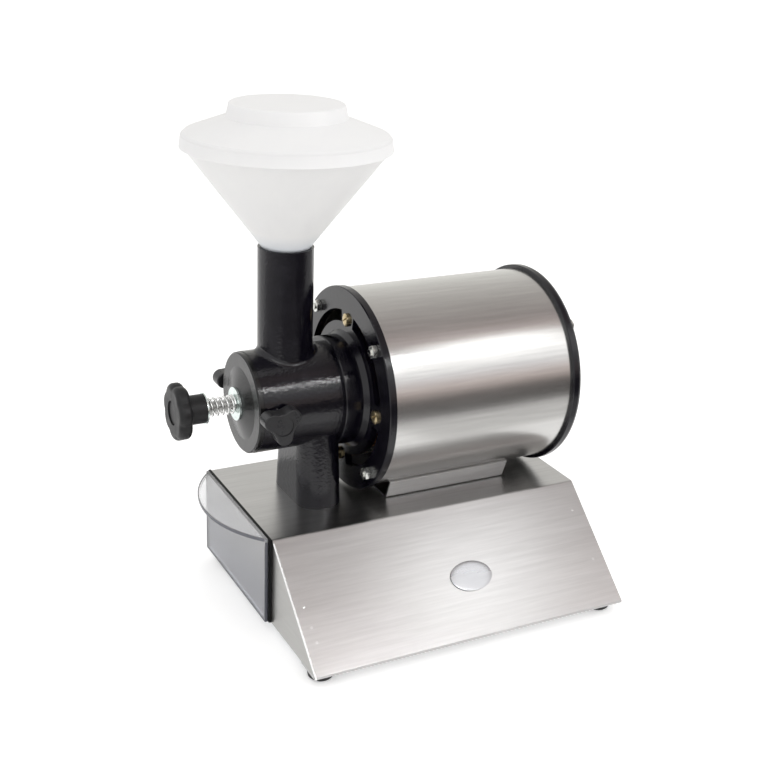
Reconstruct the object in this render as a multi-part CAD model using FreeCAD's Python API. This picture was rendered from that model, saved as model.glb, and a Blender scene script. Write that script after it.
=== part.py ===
import FreeCAD, Part
import math
import os
from FreeCAD import Vector as V

# Electric grain mill: folded steel base with a catch drawer, drum motor, cast grinding head and hopper.
# Millimetres, +Z up. X runs along the motor shaft, with the grinding head towards -X, and the operator
# stands at -Y. Places along X are counted from the middle of the base and places along Y from the shaft,
# and the finished pieces are then moved so that the origin lies on the floor under the middle of the mill.

# Folded base: its front slopes and its rear wall is upright. The front reach is taken from the shaft to the
# sharp corner that the lower fold rounds off.
base_length = 300.0
base_top_width = 150.0
front_reach = 169.2
sheet = 1.2
bend_radius = 2.0
edge_bend = 0.8
turned_edge = 0.8
return_flange = 32.0
weld_gap = 0.15

# Feet
foot_height = 9.0
foot_radius = 12.0
foot_draft = 1.5
foot_end_inset = 13.0
foot_front_inset = 22.0
foot_rear_inset = 18.0
foot_recess_radius = 5.2
foot_recess_depth = 6.0
foot_screw_room = 0.55

# Screw sizes, as radii, and the room round a screw in its hole
m4 = 2.0
m5 = 2.5
m6 = 3.0
m8 = 4.0
m10 = 5.0
hole_room = 0.05

# Catch drawer and its way into the base
drawer_inset = 5.0
drawer_length = 180.0
drawer_wall = 2.2
drawer_front = 2.4
drawer_front_margin = 2.0
drawer_headroom = 7.5
drawer_play = 0.4
drawer_corner = 8.0
lip_reach = 29.8
lip_thickness = 2.0
lip_depth = 3.2
bezel_depth = 2.3
bezel_rim = 2.5
bezel_tongue = 1.0
guide_height = 30.0
guide_sheet = 1.0
guide_foot = 12.0

# Motor drum
axis_height = 185.0
drum_clearance = 2.5
flange_front_x = -52.0
flange_thickness = 6.5
flange_lip = 2.0
register_depth = 3.0
register_wall = 3.0
register_gap = 0.1
jacket_radius = 88.5
jacket_wall = 1.0
jacket_length = 179.5
cap_wall = 3.5
cap_overlap = 4.0
cap_plate = 4.5
cap_round = 3.0
vent_count = 6
slot_width = 10.5
slot_inset = 10.0
slot_bridge = 19.0
flange_turn = 3.0
stud_inset = 8.0
stud_end = 6.5
nut_flats = 10.0
nut_height = 5.0
stator_bolt_rise = 4.1
bolt_head_radius = 5.8
bolt_head_height = 3.0

# Cradle under the drum
cradle_offset = 18.5
cradle_length = 121.0
cradle_sheet = 2.0
cradle_half_floor = 40.0
cradle_half_reach = 46.4
cradle_gap = 0.3
cradle_bolt_inset = 18.0
cradle_bolt_half = 25.0

# Motor inside the drum
stator_offset = 45.5
stator_rim = 7.9
stator_bore = 46.0
air_gap = 0.6
spacer_radius = 5.0
winding_reach = 24.0
winding_step = 1.5
winding_gap = 0.6
end_ring = 6.0
bell_gap = 28.0
bell_plate = 6.0
bearing_outer = 20.0
bearing_bore = 8.5
bearing_width = 12.0
bearing_fit = 0.03
bearing_dip = 0.8
hub_wall = 7.0
shaft_body_radius = 12.0
fan_radius = 54.0
fan_width = 12.0
fan_disc = 2.0
fan_gap = 3.0
fan_room = 9.0
fan_blades = 8

# Grinding head
collar_step = 4.5
collar_length = 19.7
collar_cone = 4.0
collar_spigot = 4.3
bearing_setback = 5.7
seal_radius = 13.0
seal_width = 5.0
shaft_room = 1.5
body_wall = 7.0
body_length = 72.3
chamber_radius = 37.0
head_fit = 0.1
slide_fit = 0.3
tube_wall = 4.1
tube_bore = 19.5
tube_height = 134.0
tube_fillet = 5.0
feed_margin = 0.3
chute_offset = 13.4
chute_half_x = 20.3
chute_half_y = 39.0
chute_top_half_x = 18.8
chute_top_half_y = 33.0
chute_corner = 18.5
chute_wall_x = 5.5
chute_wall_y = 9.5
head_screw_depth = 12.0

# Front cover and its clamps
cover_rim = 4.8
cover_step = 0.4
cover_edge = 1.2
boss_rise = 4.4
boss_radius = 14.8
cone_radius = 31.5
spigot_land = 1.6
spigot_wall = 6.5
cover_plate = 6.0
thread_hub_radius = 10.0
thread_hub_length = 14.0
clamp_inset = 9.5
clamp_rise = 3.0
clamp_boss_radius = 9.0
clamp_bite = 2.0
clamp_tip = 2.4
clamp_washer = 1.2
clamp_washer_radius = 8.5
clamp_height = 13.5
clamp_tip_radius = 17.6
clamp_lobe = 7.2
clamp_hollow = 16.0
clamp_round = 1.2
clamp_dish_radius = 8.6
clamp_dish_depth = 0.8
clamp_face = 3.0
clamp_turn_front = -83.0
clamp_turn_rear = 70.0

# Burrs, worm and carriage
chamber_gap = 1.0
burr_seat = 3.5
burr_seat_radius = 20.0
burr_thickness = 5.0
burr_room = 1.5
burr_eye_step = 0.2
burr_teeth = 18
tooth_depth = 1.6
tooth_width = 3.6
tooth_skew = 18.0
grind_gap = 2.0
fixed_screw_inset = 8.5
turning_screw_room = 0.9
burr_screw_head = 3.6
carriage_room = 3.0
carriage_web = 6.0
worm_bore = 17.8
worm_room = 1.0
worm_core = 9.0
worm_pitch = 19.0
worm_land = 2.4
worm_flank = 4.8
worm_steps = 36
worm_tip_room = 5.0
nose_radius = 6.0
window_radius = 16.0
key_half_width = 3.0
key_height = 3.0
key_room = 0.3
key_length = 14.0

# Grind adjuster
cover_washer_radius = 14.4
cover_washer_thick = 1.6
spring_length = 26.5
spring_wire = 1.0
spring_radius = 7.4
spring_turns = 5
spring_seat = 0.05
hub_washer_radius = 13.4
hub_washer_thick = 1.2
turn_gap = 0.1
hub_radius = 12.5
hub_length = 15.4
knob_thickness = 11.8
knob_radius = 24.8
knob_lobes = 7
knob_lobe = 13.0
knob_hollow = 3.0
knob_round = 4.5
knob_dish_radius = 10.5
knob_dish_depth = 1.2
knob_face = 4.0
insert_radius = 8.0
insert_groove = 1.0
insert_groove_width = 4.0
screw_end_room = 0.5
neck_radius = 3.6
clip_radius = 6.5
clip_thick = 1.0

# Hopper and lid
hopper_wall = 1.8
hopper_slope = 0.77
spout_length = 30.0
spout_gap = 0.7
spout_draft = 1.0
seat_chamfer = 1.0
hopper_radius = 84.2
hopper_rim = 9.0
lid_rim = 1.9
lid_lead = 0.4
lid_skirt = 9.4
lid_draft = 1.4
lid_shoulder = 2.4
lid_cone_rise = 12.6
lid_boss_radius = 49.2
lid_boss_height = 10.8
lid_boss_draft = 2.3
lid_play = 0.3

# Switch, cord inlet and capacitor
switch_y = 60.0
switch_z = 52.0
switch_half_y = 7.5
switch_half_z = 10.5
switch_frame = 2.0
switch_depth = 18.0
switch_wall = 1.6
rocker_play = 0.4
rocker_pivot = 2.5
rocker_half_z = 7.2
rocker_rise = 5.8
rocker_tilt = 9.0
rocker_foot = 4.0
rocker_dip = 4.0
rocker_shoulder = 4.2
rocker_pin = 1.5
switch_floor = 5.6
switch_lip = 0.5
switch_edge = 0.6
inlet_y = 20.0
inlet_z = 40.0
inlet_radius = 7.0
inlet_bore = 4.0
inlet_rim = 2.0
inlet_reach = 3.0
capacitor_radius = 17.0
capacitor_length = 60.0
capacitor_inset = 32.0
capacitor_edge = 1.5
capacitor_y = -95.0
clip_strap = 1.2
clip_width = 14.0
clip_foot = 10.0

# Drum radii, from the jacket's skin inwards and outwards
flange_radius = jacket_radius + flange_lip
cap_radius = jacket_radius + cap_wall
stud_circle = jacket_radius - stud_inset
slot_outer = stud_circle - slot_inset
slot_inner = slot_outer - slot_width
stator_bolt_circle = slot_inner + stator_bolt_rise
stator_radius = stator_bolt_circle + stator_rim
winding_inner = stator_bore + winding_step
winding_outer = stator_bolt_circle - spacer_radius - winding_gap

# Heights and half widths of the base, which reaches up to just under the drum
base_height = axis_height - cap_radius - drum_clearance
top_half = base_top_width / 2
slope_run = (front_reach - top_half) / (base_height - foot_height)
slope_wall = sheet * math.hypot(1, slope_run)
fold_angle = math.atan(1 / slope_run)
plate_z = foot_height + sheet
floor_z = plate_z + sheet
ceiling_z = base_height - sheet
left_x = -base_length / 2
right_x = base_length / 2
foot_x = base_length / 2 - foot_end_inset
foot_front_y = front_reach - foot_front_inset
foot_rear_y = top_half - foot_rear_inset
rear_inner = top_half - sheet - weld_gap

# Drawer places
drawer_half_width = top_half - drawer_inset
opening_half = drawer_half_width + drawer_play + bezel_tongue + drawer_play
bezel_half = opening_half + bezel_rim
opening_z = ceiling_z - bezel_rim
bezel_x = left_x - bezel_depth
drawer_x = bezel_x - drawer_play
drawer_z = floor_z + drawer_play
drawer_top = ceiling_z - drawer_headroom
lip_half = drawer_half_width + drawer_front_margin

# Drum places, from the flange back to the cap
flange_rear_x = flange_front_x + flange_thickness
jacket_end_x = flange_rear_x + jacket_length
cap_front_x = jacket_end_x - cap_overlap
cap_rear_x = jacket_end_x + cap_plate
stator_x = flange_rear_x + stator_offset
fan_end_x = jacket_end_x - fan_room
fan_x = fan_end_x - fan_width
bell_end_x = fan_x - fan_gap
bell_x = bell_end_x - bearing_width
stator_end_x = bell_x - bell_gap
cradle_x = flange_rear_x + cradle_offset

# Head radii, from the grinding chamber outwards
body_radius = chamber_radius + body_wall
collar_radius = body_radius + collar_step
head_screw_circle = (chamber_radius + body_radius) / 2
cover_radius = body_radius - cover_step
clamp_seat = body_radius + clamp_rise
tube_radius = tube_bore + tube_wall
spout_radius = tube_bore - spout_gap
burr_radius = chamber_radius - burr_room
worm_radius = worm_bore - worm_room
burr_eye = worm_bore + burr_eye_step
fixed_screw_circle = burr_eye + fixed_screw_inset
turning_screw_circle = worm_core + burr_screw_head + turning_screw_room

# Head places, from the flange out to the knob
collar_x = flange_front_x - collar_length
chamber_x = collar_x - collar_spigot
bearing_x = collar_x + bearing_setback
body_x = collar_x - body_length
rim_x = body_x - cover_rim
boss_x = rim_x - boss_rise
clamp_x = body_x + clamp_inset
clamp_groove = clamp_tip + clamp_bite
spigot_x = clamp_x + clamp_groove + spigot_land
tube_x = spigot_x + tube_bore + feed_margin
chute_x = collar_x - chute_offset
chute_screw_y = chute_half_y - chute_wall_y / 2
seat_x = chamber_x - chamber_gap - burr_seat
turning_x = seat_x - burr_thickness
fixed_x = turning_x - grind_gap - burr_thickness
carriage_x = spigot_x + carriage_room
worm_x = carriage_x + carriage_web + worm_tip_room
spring_end_x = boss_x - cover_washer_thick
hub_washer_x = spring_end_x - spring_length - hub_washer_thick
hub_x = hub_washer_x - turn_gap
knob_back_x = hub_x - hub_length
knob_x = knob_back_x - knob_thickness
insert_x = knob_x + knob_face
insert_groove_x = (insert_x + hub_x - insert_groove_width) / 2

# Hopper heights
tube_top = axis_height + tube_height
cone_z = tube_top - (tube_bore + seat_chamfer - spout_radius) / hopper_slope + head_fit
hopper_z = cone_z + (hopper_radius - spout_radius) / hopper_slope
rim_z = hopper_z + hopper_rim
shoulder_z = rim_z + lid_play + hopper_wall
skirt_z = shoulder_z - lid_shoulder - lid_skirt
lid_skirt_radius = hopper_radius + lid_play + lid_rim

capacitor_x = right_x - capacitor_inset - capacitor_length

# Middle of the whole mill: along X from the knob's face to the rocker's highest corner, and along Y from the
# rounded lower fold to the widest piece behind the shaft
tilt = math.radians(rocker_tilt)
rocker_top = rocker_rise * math.cos(tilt) + rocker_half_z * math.sin(tilt)
right_reach_x = right_x - rocker_pivot + rocker_top
origin_x = (knob_x + right_reach_x) / 2
fold_radius = edge_bend + sheet
front_y = fold_radius / math.tan(fold_angle / 2) - fold_radius - front_reach
rear_y = max(cap_radius, lid_skirt_radius, top_half)
origin_y = (front_y + rear_y) / 2


def box(x0, x1, y0, y1, z0, z1):
    """Block between two corners."""
    return Part.makeBox(x1 - x0, y1 - y0, z1 - z0, V(x0, y0, z0))


def rod_x(radius, x0, x1, y=0.0, z=axis_height):
    """Round bar along X."""
    return Part.makeCylinder(radius, x1 - x0, V(x0, y, z), V(1, 0, 0))


def rod_y(radius, y0, y1, x, z):
    """Round bar along Y."""
    return Part.makeCylinder(radius, y1 - y0, V(x, y0, z), V(0, 1, 0))


def rod_z(radius, z0, z1, x, y=0.0):
    """Upright round bar."""
    return Part.makeCylinder(radius, z1 - z0, V(x, y, z0))


def flat_face(points):
    """Flat face inside a closed line of points."""
    return Part.Face(Part.makePolygon(points + [points[0]]))


def turned_x(profile, y=0.0, z=axis_height):
    """Solid of revolution about a line along X, from (x, radius) points."""
    face = flat_face([V(x, y, z + r) for x, r in profile])
    return face.revolve(V(0, y, z), V(1, 0, 0), 360)


def turned_z(profile, x, y=0.0):
    """Solid of revolution about an upright line, from (radius, z) points."""
    face = flat_face([V(x + r, y, z) for r, z in profile])
    return face.revolve(V(x, y, 0), V(0, 0, 1), 360)


def on_circle(radius, degrees):
    """Place (y, z) on a circle about the shaft, counted from +Y upwards."""
    turn = math.radians(degrees)
    return radius * math.cos(turn), axis_height + radius * math.sin(turn)


def quarter_places(radius, start):
    """Four places (y, z) a quarter turn apart about the shaft."""
    return [on_circle(radius, start + 90 * i) for i in range(4)]


def ring_slot(inner, outer, x0, x1, start, sweep):
    """Curved slot about the shaft: part of a ring between two angles."""
    y, z = on_circle(1.0, start)
    corner = [(x0, inner), (x1, inner), (x1, outer), (x0, outer)]
    face = flat_face([V(x, r * y, axis_height + r * (z - axis_height)) for x, r in corner])
    return face.revolve(V(0, 0, axis_height), V(1, 0, 0), sweep)


def hex_x(flats, x0, x1, y, z):
    """Hexagonal bar along X."""
    radius = flats / math.sqrt(3)
    ring = [V(x0, y + radius * math.cos(a), z + radius * math.sin(a))
            for a in [math.radians(60 * i) for i in range(6)]]
    return flat_face(ring).extrude(V(x1 - x0, 0, 0))


def hex_z(flats, z0, z1, x, y):
    """Upright hexagonal bar."""
    radius = flats / math.sqrt(3)
    ring = [V(x + radius * math.cos(a), y + radius * math.sin(a), z0)
            for a in [math.radians(60 * i) for i in range(6)]]
    return flat_face(ring).extrude(V(0, 0, z1 - z0))


def rounded_loop(half_x, half_y, corner, x, z):
    """Level rounded rectangle centred on (x, 0)."""
    block = box(x - half_x, x + half_x, -half_y, half_y, z, z + 1)
    upright = [e for e in block.Edges if abs(e.Vertexes[0].Z - e.Vertexes[1].Z) > 0.5]
    block = block.makeFillet(min(corner, half_x * 0.98), upright)
    return [f for f in block.Faces if abs(f.CenterOfMass.z - z) < 0.01][0].OuterWire


def offset_line(points, distance):
    """Mitred parallel of an open line of (a, b) points, on the left of its direction."""
    normals = []
    for (a, b), (c, d) in zip(points, points[1:]):
        run = math.hypot(c - a, d - b)
        normals.append((-(d - b) / run, (c - a) / run))
    before = [normals[0]] + normals
    after = normals + [normals[-1]]
    shifted = []
    for (a, b), (p, q), (r, s) in zip(points, before, after):
        share = distance / (1 + p * r + q * s)
        shifted.append((a + share * (p + r), b + share * (q + s)))
    return shifted


def folded_sheet(points, thickness, x0, length, bends):
    """Sheet folded along X from the (y, z) line of one face, thickened on its left, with round bends."""
    inner = offset_line(points, thickness)
    outline = points + inner[::-1]
    solid = flat_face([V(x0, y, z) for y, z in outline]).extrude(V(length, 0, 0))
    for i in range(1, len(points) - 1):
        (a, b), (c, d), (e, f) = points[i - 1:i + 2]
        turns_left = (c - a) * (f - d) - (d - b) * (e - c) > 0
        hollow_second = turns_left == (thickness > 0)
        radii = [bends[i - 1] + abs(thickness), bends[i - 1]]
        if not hollow_second:
            radii.reverse()
        for place, radius in zip((points[i], inner[i]), radii):
            solid = solid.makeFillet(radius, edges_along_x(solid, place))
    return solid


def edges_along_x(solid, place):
    """Straight edges along X through one (y, z) place."""
    found = []
    for edge in solid.Edges:
        ends = [v.Point for v in edge.Vertexes]
        if all(math.hypot(p.y - place[0], p.z - place[1]) < 0.01 for p in ends):
            found.append(edge)
    return found


def polar(radius, angle):
    """Level place at a radius and an angle."""
    return V(radius * math.cos(angle), radius * math.sin(angle), 0)


def lobed_loop(count, tip, lobe, hollow):
    """Star outline about Z: round lobes joined by tangent hollows."""
    half = math.pi / count
    lobe_centre = tip - lobe
    hollow_centre = lobe_centre * math.cos(half)
    hollow_centre += math.sqrt((lobe + hollow) ** 2 - (lobe_centre * math.sin(half)) ** 2)
    edges = []
    for i in range(count):
        angle = 2 * half * i
        middle = polar(lobe_centre, angle)
        low_valley = polar(hollow_centre, angle - half)
        high_valley = polar(hollow_centre, angle + half)
        share = lobe / (lobe + hollow)
        start = middle + (low_valley - middle) * share
        end = middle + (high_valley - middle) * share
        following = polar(lobe_centre, angle + 2 * half)
        onward = following + (high_valley - following) * share
        edges.append(Part.Arc(start, polar(tip, angle), end).toShape())
        edges.append(Part.Arc(end, polar(hollow_centre - hollow, angle + half), onward).toShape())
    return Part.Wire(edges)


def lobed_grip(count, tip, lobe, hollow, height, rounding):
    """Star grip standing on Z = 0 with its top and bottom edges rounded."""
    grip = Part.Face(lobed_loop(count, tip, lobe, hollow)).extrude(V(0, 0, height))
    level = [e for e in grip.Edges if abs(e.BoundBox.ZMax - e.BoundBox.ZMin) < 0.01]
    return grip.makeFillet(rounding, level)


def facing(shape, axis, degrees, x, y, z):
    """Turn a piece built along +Z about an axis through its foot, then put its foot at a place."""
    turned = shape.copy()
    turned.rotate(V(0, 0, 0), axis, degrees)
    turned.translate(V(x, y, z))
    return turned


def slope_inner(z):
    """How far the inside of the sloping wall lies from the shaft at a height, less the weld gap."""
    return front_reach - (z - foot_height) * slope_run - slope_wall - weld_gap


def foot_places():
    """The four (x, y) places of the feet."""
    return [(x, y) for x in (-foot_x, foot_x) for y in (-foot_front_y, foot_rear_y)]


def cradle_places():
    """The four (x, y) places of the cradle bolts."""
    ends = (cradle_x + cradle_bolt_inset, cradle_x + cradle_length - cradle_bolt_inset)
    return [(x, y) for x in ends for y in (-cradle_bolt_half, cradle_bolt_half)]


def chute_bore(z0, z1):
    """Upright block of the chute's inside, from the floor of the chute upwards."""
    loop = rounded_loop(chute_half_x - chute_wall_x, chute_half_y - chute_wall_y, chute_corner, chute_x, z0)
    return Part.Face(loop).extrude(V(0, 0, z1 - z0))


def base_shell():
    line = [(top_half - return_flange, foot_height), (top_half, foot_height), (top_half, base_height),
            (-top_half, base_height), (-front_reach, foot_height), (return_flange - front_reach, foot_height)]
    bends = (bend_radius, bend_radius, bend_radius, edge_bend)
    shell = folded_sheet(line, sheet, left_x, base_length, bends)
    cuts = [chute_bore(ceiling_z - sheet, base_height + sheet)]
    for side in (-1, 1):
        y = side * chute_screw_y
        cuts.append(rod_z(m5 + hole_room, ceiling_z - sheet, base_height + sheet, chute_x, y))
    for x, y in cradle_places():
        cuts.append(rod_z(m6 + hole_room, ceiling_z - sheet, base_height + sheet, x, y))
    for x, y in foot_places():
        cuts.append(rod_z(m5 + hole_room, foot_height - sheet, plate_z + sheet, x, y))
    return shell.cut(cuts)


def end_panel(x0):
    top_z = ceiling_z - weld_gap
    corners = [(-slope_inner(floor_z), floor_z), (rear_inner - bend_radius, floor_z),
               (rear_inner, floor_z + bend_radius), (rear_inner, top_z - bend_radius),
               (rear_inner - bend_radius, top_z), (-slope_inner(top_z), top_z)]
    return flat_face([V(x0, y, z) for y, z in corners]).extrude(V(sheet, 0, 0))


def left_end_panel():
    opening = box(left_x - sheet, left_x + 2 * sheet, -opening_half, opening_half, floor_z - sheet, opening_z)
    return end_panel(left_x).cut(opening)


def right_end_panel():
    inner_y = switch_half_y - switch_wall
    inner_z = switch_half_z - switch_wall
    switch_hole = box(right_x - 2 * sheet, right_x + sheet, switch_y - inner_y - hole_room,
                      switch_y + inner_y + hole_room, switch_z - inner_z - hole_room,
                      switch_z + inner_z + hole_room)
    inlet_hole = rod_x(inlet_radius + hole_room, right_x - 2 * sheet, right_x + sheet, inlet_y, inlet_z)
    return end_panel(right_x - sheet).cut([switch_hole, inlet_hole])


def bottom_plate():
    front = slope_inner(floor_z) - edge_bend / math.tan(fold_angle / 2)
    rear = rear_inner - bend_radius
    plate = box(left_x + weld_gap, right_x - weld_gap, -front, rear, plate_z, floor_z)
    return plate.cut([rod_z(m5 + hole_room, plate_z - 1, floor_z + 1, x, y) for x, y in foot_places()])


def drawer_guide():
    inner = drawer_half_width + drawer_play
    outer = inner + guide_sheet
    x0 = left_x + sheet + weld_gap
    x1 = drawer_x + drawer_length + drawer_play
    top = floor_z + guide_height
    walls = box(x0, x1 + guide_sheet, -outer, outer, floor_z, top)
    feet = box(x0, x1 + guide_sheet, -outer - guide_foot, outer, floor_z, floor_z + guide_sheet)
    inside = box(x0 - 1, x1, -inner, inner, floor_z - 1, top + 1)
    return walls.fuse(feet).cut(inside).removeSplitter()


def drawer_bezel():
    inner = opening_half - bezel_tongue
    inner_z = opening_z - bezel_tongue
    rim = box(bezel_x, left_x, -bezel_half, bezel_half, floor_z, base_height)
    tongue = box(left_x, left_x + sheet, -opening_half, opening_half, floor_z, opening_z)
    opening = box(bezel_x - 1, left_x + 2 * sheet, -inner, inner, floor_z - 1, inner_z)
    return rim.fuse(tongue).cut(opening).removeSplitter()


def lip_segment(half, reach, z0, z1):
    """Round segment that stands out in front of the drawer."""
    left = V(drawer_x, -half, z0)
    right = V(drawer_x, half, z0)
    rim = Part.Arc(left, V(drawer_x - reach, 0, z0), right).toShape()
    return Part.Face(Part.Wire([rim, Part.makeLine(right, left)])).extrude(V(0, 0, z1 - z0))


def drawer():
    back_x = drawer_x + drawer_length
    body = box(drawer_x, back_x, -drawer_half_width, drawer_half_width, drawer_z, drawer_top)
    corners = [e for e in body.Edges if min(v.X for v in e.Vertexes) > back_x - 0.01
               and abs(e.Vertexes[0].Z - e.Vertexes[1].Z) > 1]
    body = body.makeFillet(drawer_corner, corners)
    hollow = box(drawer_x, back_x - drawer_wall, drawer_wall - drawer_half_width,
                 drawer_half_width - drawer_wall, drawer_z + drawer_wall, drawer_top + 1)
    corners = [e for e in hollow.Edges if min(v.X for v in e.Vertexes) > back_x - drawer_wall - 0.01
               and abs(e.Vertexes[0].Z - e.Vertexes[1].Z) > 1]
    hollow = hollow.makeFillet(drawer_corner - drawer_wall, corners)
    front = box(drawer_x - drawer_front, drawer_x, -lip_half, lip_half, drawer_z, base_height)
    lip = lip_segment(lip_half, lip_reach, base_height - lip_depth, base_height)
    under = lip_segment(lip_half - drawer_wall, lip_reach - drawer_wall, base_height - lip_depth - 1,
                        base_height - lip_thickness)
    return body.cut(hollow).fuse([lip.cut(under), front]).removeSplitter()


def rubber_feet():
    profile = [(m5 + hole_room, foot_recess_depth), (foot_recess_radius, foot_recess_depth),
               (foot_recess_radius, 0), (foot_radius - 2 * foot_draft, 0),
               (foot_radius - foot_draft, foot_draft), (foot_radius, foot_height),
               (m5 + hole_room, foot_height)]
    return Part.makeCompound([turned_z(profile, x, y) for x, y in foot_places()])


def foot_screws():
    head_z = foot_recess_depth - bolt_head_height
    screws = []
    for x, y in foot_places():
        head = rod_z(foot_recess_radius - foot_screw_room, head_z, foot_recess_depth, x, y)
        screws.append(head.fuse(rod_z(m5, foot_recess_depth, floor_z, x, y)).removeSplitter())
    return Part.makeCompound(screws)


def motor_cradle():
    floor = base_height + cradle_sheet
    z = axis_height - math.sqrt((jacket_radius + cradle_gap) ** 2 - cradle_half_reach ** 2)
    line = [(-cradle_half_reach, z), (-cradle_half_floor, floor), (cradle_half_floor, floor),
            (cradle_half_reach, z)]
    cradle = folded_sheet(line, -cradle_sheet, cradle_x, cradle_length, (bend_radius, bend_radius))
    holes = [rod_z(m6 + hole_room, base_height - 1, floor + 1, x, y) for x, y in cradle_places()]
    return cradle.cut(holes)


def cradle_bolts():
    floor = base_height + cradle_sheet
    bolts = []
    for x, y in cradle_places():
        head = hex_z(nut_flats, floor, floor + bolt_head_height, x, y)
        bolts.append(head.fuse(rod_z(m6, ceiling_z - nut_height, floor, x, y)).removeSplitter())
    return Part.makeCompound(bolts)


def cradle_nuts():
    nuts = []
    for x, y in cradle_places():
        nut = hex_z(nut_flats, ceiling_z - nut_height, ceiling_z, x, y)
        nuts.append(nut.cut(rod_z(m6 + hole_room, ceiling_z - nut_height - 1, ceiling_z + 1, x, y)))
    return Part.makeCompound(nuts)


def motor_jacket():
    inner = jacket_radius - jacket_wall
    inside = rod_x(inner, flange_rear_x - 1, jacket_end_x + 1)
    return rod_x(jacket_radius, flange_rear_x, jacket_end_x).cut(inside)


def front_flange():
    spigot = chamber_radius - head_fit
    register = jacket_radius - jacket_wall - register_gap
    seal_end_x = chamber_x + seal_width + shaft_room
    edge = turned_edge
    profile = [(chamber_x, seal_radius), (chamber_x, spigot), (collar_x, spigot),
               (collar_x, collar_radius - edge), (collar_x + edge, collar_radius),
               (flange_front_x - collar_cone, collar_radius), (flange_front_x, collar_radius + collar_cone),
               (flange_front_x, flange_radius - edge), (flange_front_x + edge, flange_radius),
               (flange_rear_x, flange_radius), (flange_rear_x, register),
               (flange_rear_x + register_depth, register),
               (flange_rear_x + register_depth, register - register_wall),
               (flange_rear_x, register - register_wall), (flange_rear_x, bearing_outer),
               (bearing_x, bearing_outer), (bearing_x, bearing_bore + shaft_room),
               (seal_end_x, bearing_bore + shaft_room), (seal_end_x, seal_radius)]
    cuts = []
    for i in range(4):
        start = flange_turn + 90 * i + slot_bridge / 2
        sweep = 90 - slot_bridge
        cuts.append(ring_slot(slot_inner, slot_outer, flange_front_x - 1, flange_rear_x + 1, start, sweep))
    for y, z in quarter_places(stator_bolt_circle, flange_turn):
        cuts.append(rod_x(m6 + hole_room, flange_front_x - 1, flange_rear_x + 1, y, z))
    for y, z in quarter_places(stud_circle, 45 + flange_turn):
        cuts.append(rod_x(m6 + hole_room, flange_front_x - 1, flange_rear_x + 1, y, z))
    for y, z in quarter_places(head_screw_circle, 45):
        cuts.append(rod_x(m4 + hole_room, collar_x - 1, flange_rear_x + 1, y, z))
        cuts.append(rod_x(2 * m4 + hole_room, flange_rear_x - 2 * m4, flange_rear_x + 1, y, z))
    return turned_x(profile).cut(cuts)


def rear_cap():
    inside = jacket_radius + register_gap
    bevel = 0.3 * cap_round
    profile = [(cap_front_x, inside), (cap_front_x, cap_radius - turned_edge),
               (cap_front_x + turned_edge, cap_radius), (cap_rear_x - cap_round, cap_radius),
               (cap_rear_x - bevel, cap_radius - bevel), (cap_rear_x, cap_radius - cap_round),
               (cap_rear_x, 0), (jacket_end_x, 0), (jacket_end_x, inside)]
    cuts = [rod_x(m6 + hole_room, jacket_end_x - 1, cap_rear_x + 1, y, z)
            for y, z in quarter_places(stud_circle, 45 + flange_turn)]
    for inner in (slot_inner - 2 * slot_width, slot_inner - 4 * slot_width):
        for i in range(vent_count):
            sweep = 360 / vent_count - slot_bridge
            start = flange_turn + i * 360 / vent_count
            cuts.append(ring_slot(inner, inner + slot_width, jacket_end_x - 1, cap_rear_x + 1, start, sweep))
    return turned_x(profile).cut(cuts)


def jacket_studs():
    ends = (flange_front_x - stud_end, cap_rear_x + stud_end)
    places = quarter_places(stud_circle, 45 + flange_turn)
    return Part.makeCompound([rod_x(m6, *ends, y, z) for y, z in places])


def stud_nuts():
    nuts = []
    for y, z in quarter_places(stud_circle, 45 + flange_turn):
        for x0, x1 in ((flange_front_x - nut_height, flange_front_x), (cap_rear_x, cap_rear_x + nut_height)):
            nuts.append(hex_x(nut_flats, x0, x1, y, z).cut(rod_x(m6 + hole_room, x0 - 1, x1 + 1, y, z)))
    return Part.makeCompound(nuts)


def stator_bolts():
    bolts = []
    for y, z in quarter_places(stator_bolt_circle, flange_turn):
        head_x = flange_front_x - bolt_head_height
        crown = bolt_head_height / 3
        profile = [(head_x, 0), (head_x, bolt_head_radius - 2 * crown),
                   (head_x + crown, bolt_head_radius - crown / 2), (head_x + 2 * crown, bolt_head_radius),
                   (flange_front_x, bolt_head_radius), (flange_front_x, m6), (bell_x + bell_plate, m6),
                   (bell_x + bell_plate, 0)]
        bolts.append(turned_x(profile, y, z))
    return Part.makeCompound(bolts)


def stator_spacers():
    spacers = []
    for y, z in quarter_places(stator_bolt_circle, flange_turn):
        for x0, x1 in ((flange_rear_x, stator_x), (stator_end_x, bell_x)):
            hole = rod_x(m6 + hole_room, x0 - 1, x1 + 1, y, z)
            spacers.append(rod_x(spacer_radius, x0, x1, y, z).cut(hole))
    return Part.makeCompound(spacers)


def stator_core():
    core = rod_x(stator_radius, stator_x, stator_end_x)
    cuts = [rod_x(stator_bore, stator_x - 1, stator_end_x + 1)]
    for y, z in quarter_places(stator_bolt_circle, flange_turn):
        cuts.append(rod_x(m6 + hole_room, stator_x - 1, stator_end_x + 1, y, z))
    return core.cut(cuts)


def windings():
    heads = []
    for face_x, way in ((stator_x, -1), (stator_end_x, 1)):
        shoulder = winding_reach / 3
        profile = [(face_x, winding_inner), (face_x, winding_outer - shoulder / 2),
                   (face_x + way * shoulder, winding_outer), (face_x + way * 2 * shoulder, winding_outer),
                   (face_x + way * winding_reach, winding_outer - shoulder / 2),
                   (face_x + way * winding_reach, winding_inner + shoulder / 2),
                   (face_x + way * 2 * shoulder, winding_inner)]
        heads.append(turned_x(profile))
    return Part.makeCompound(heads)


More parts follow.
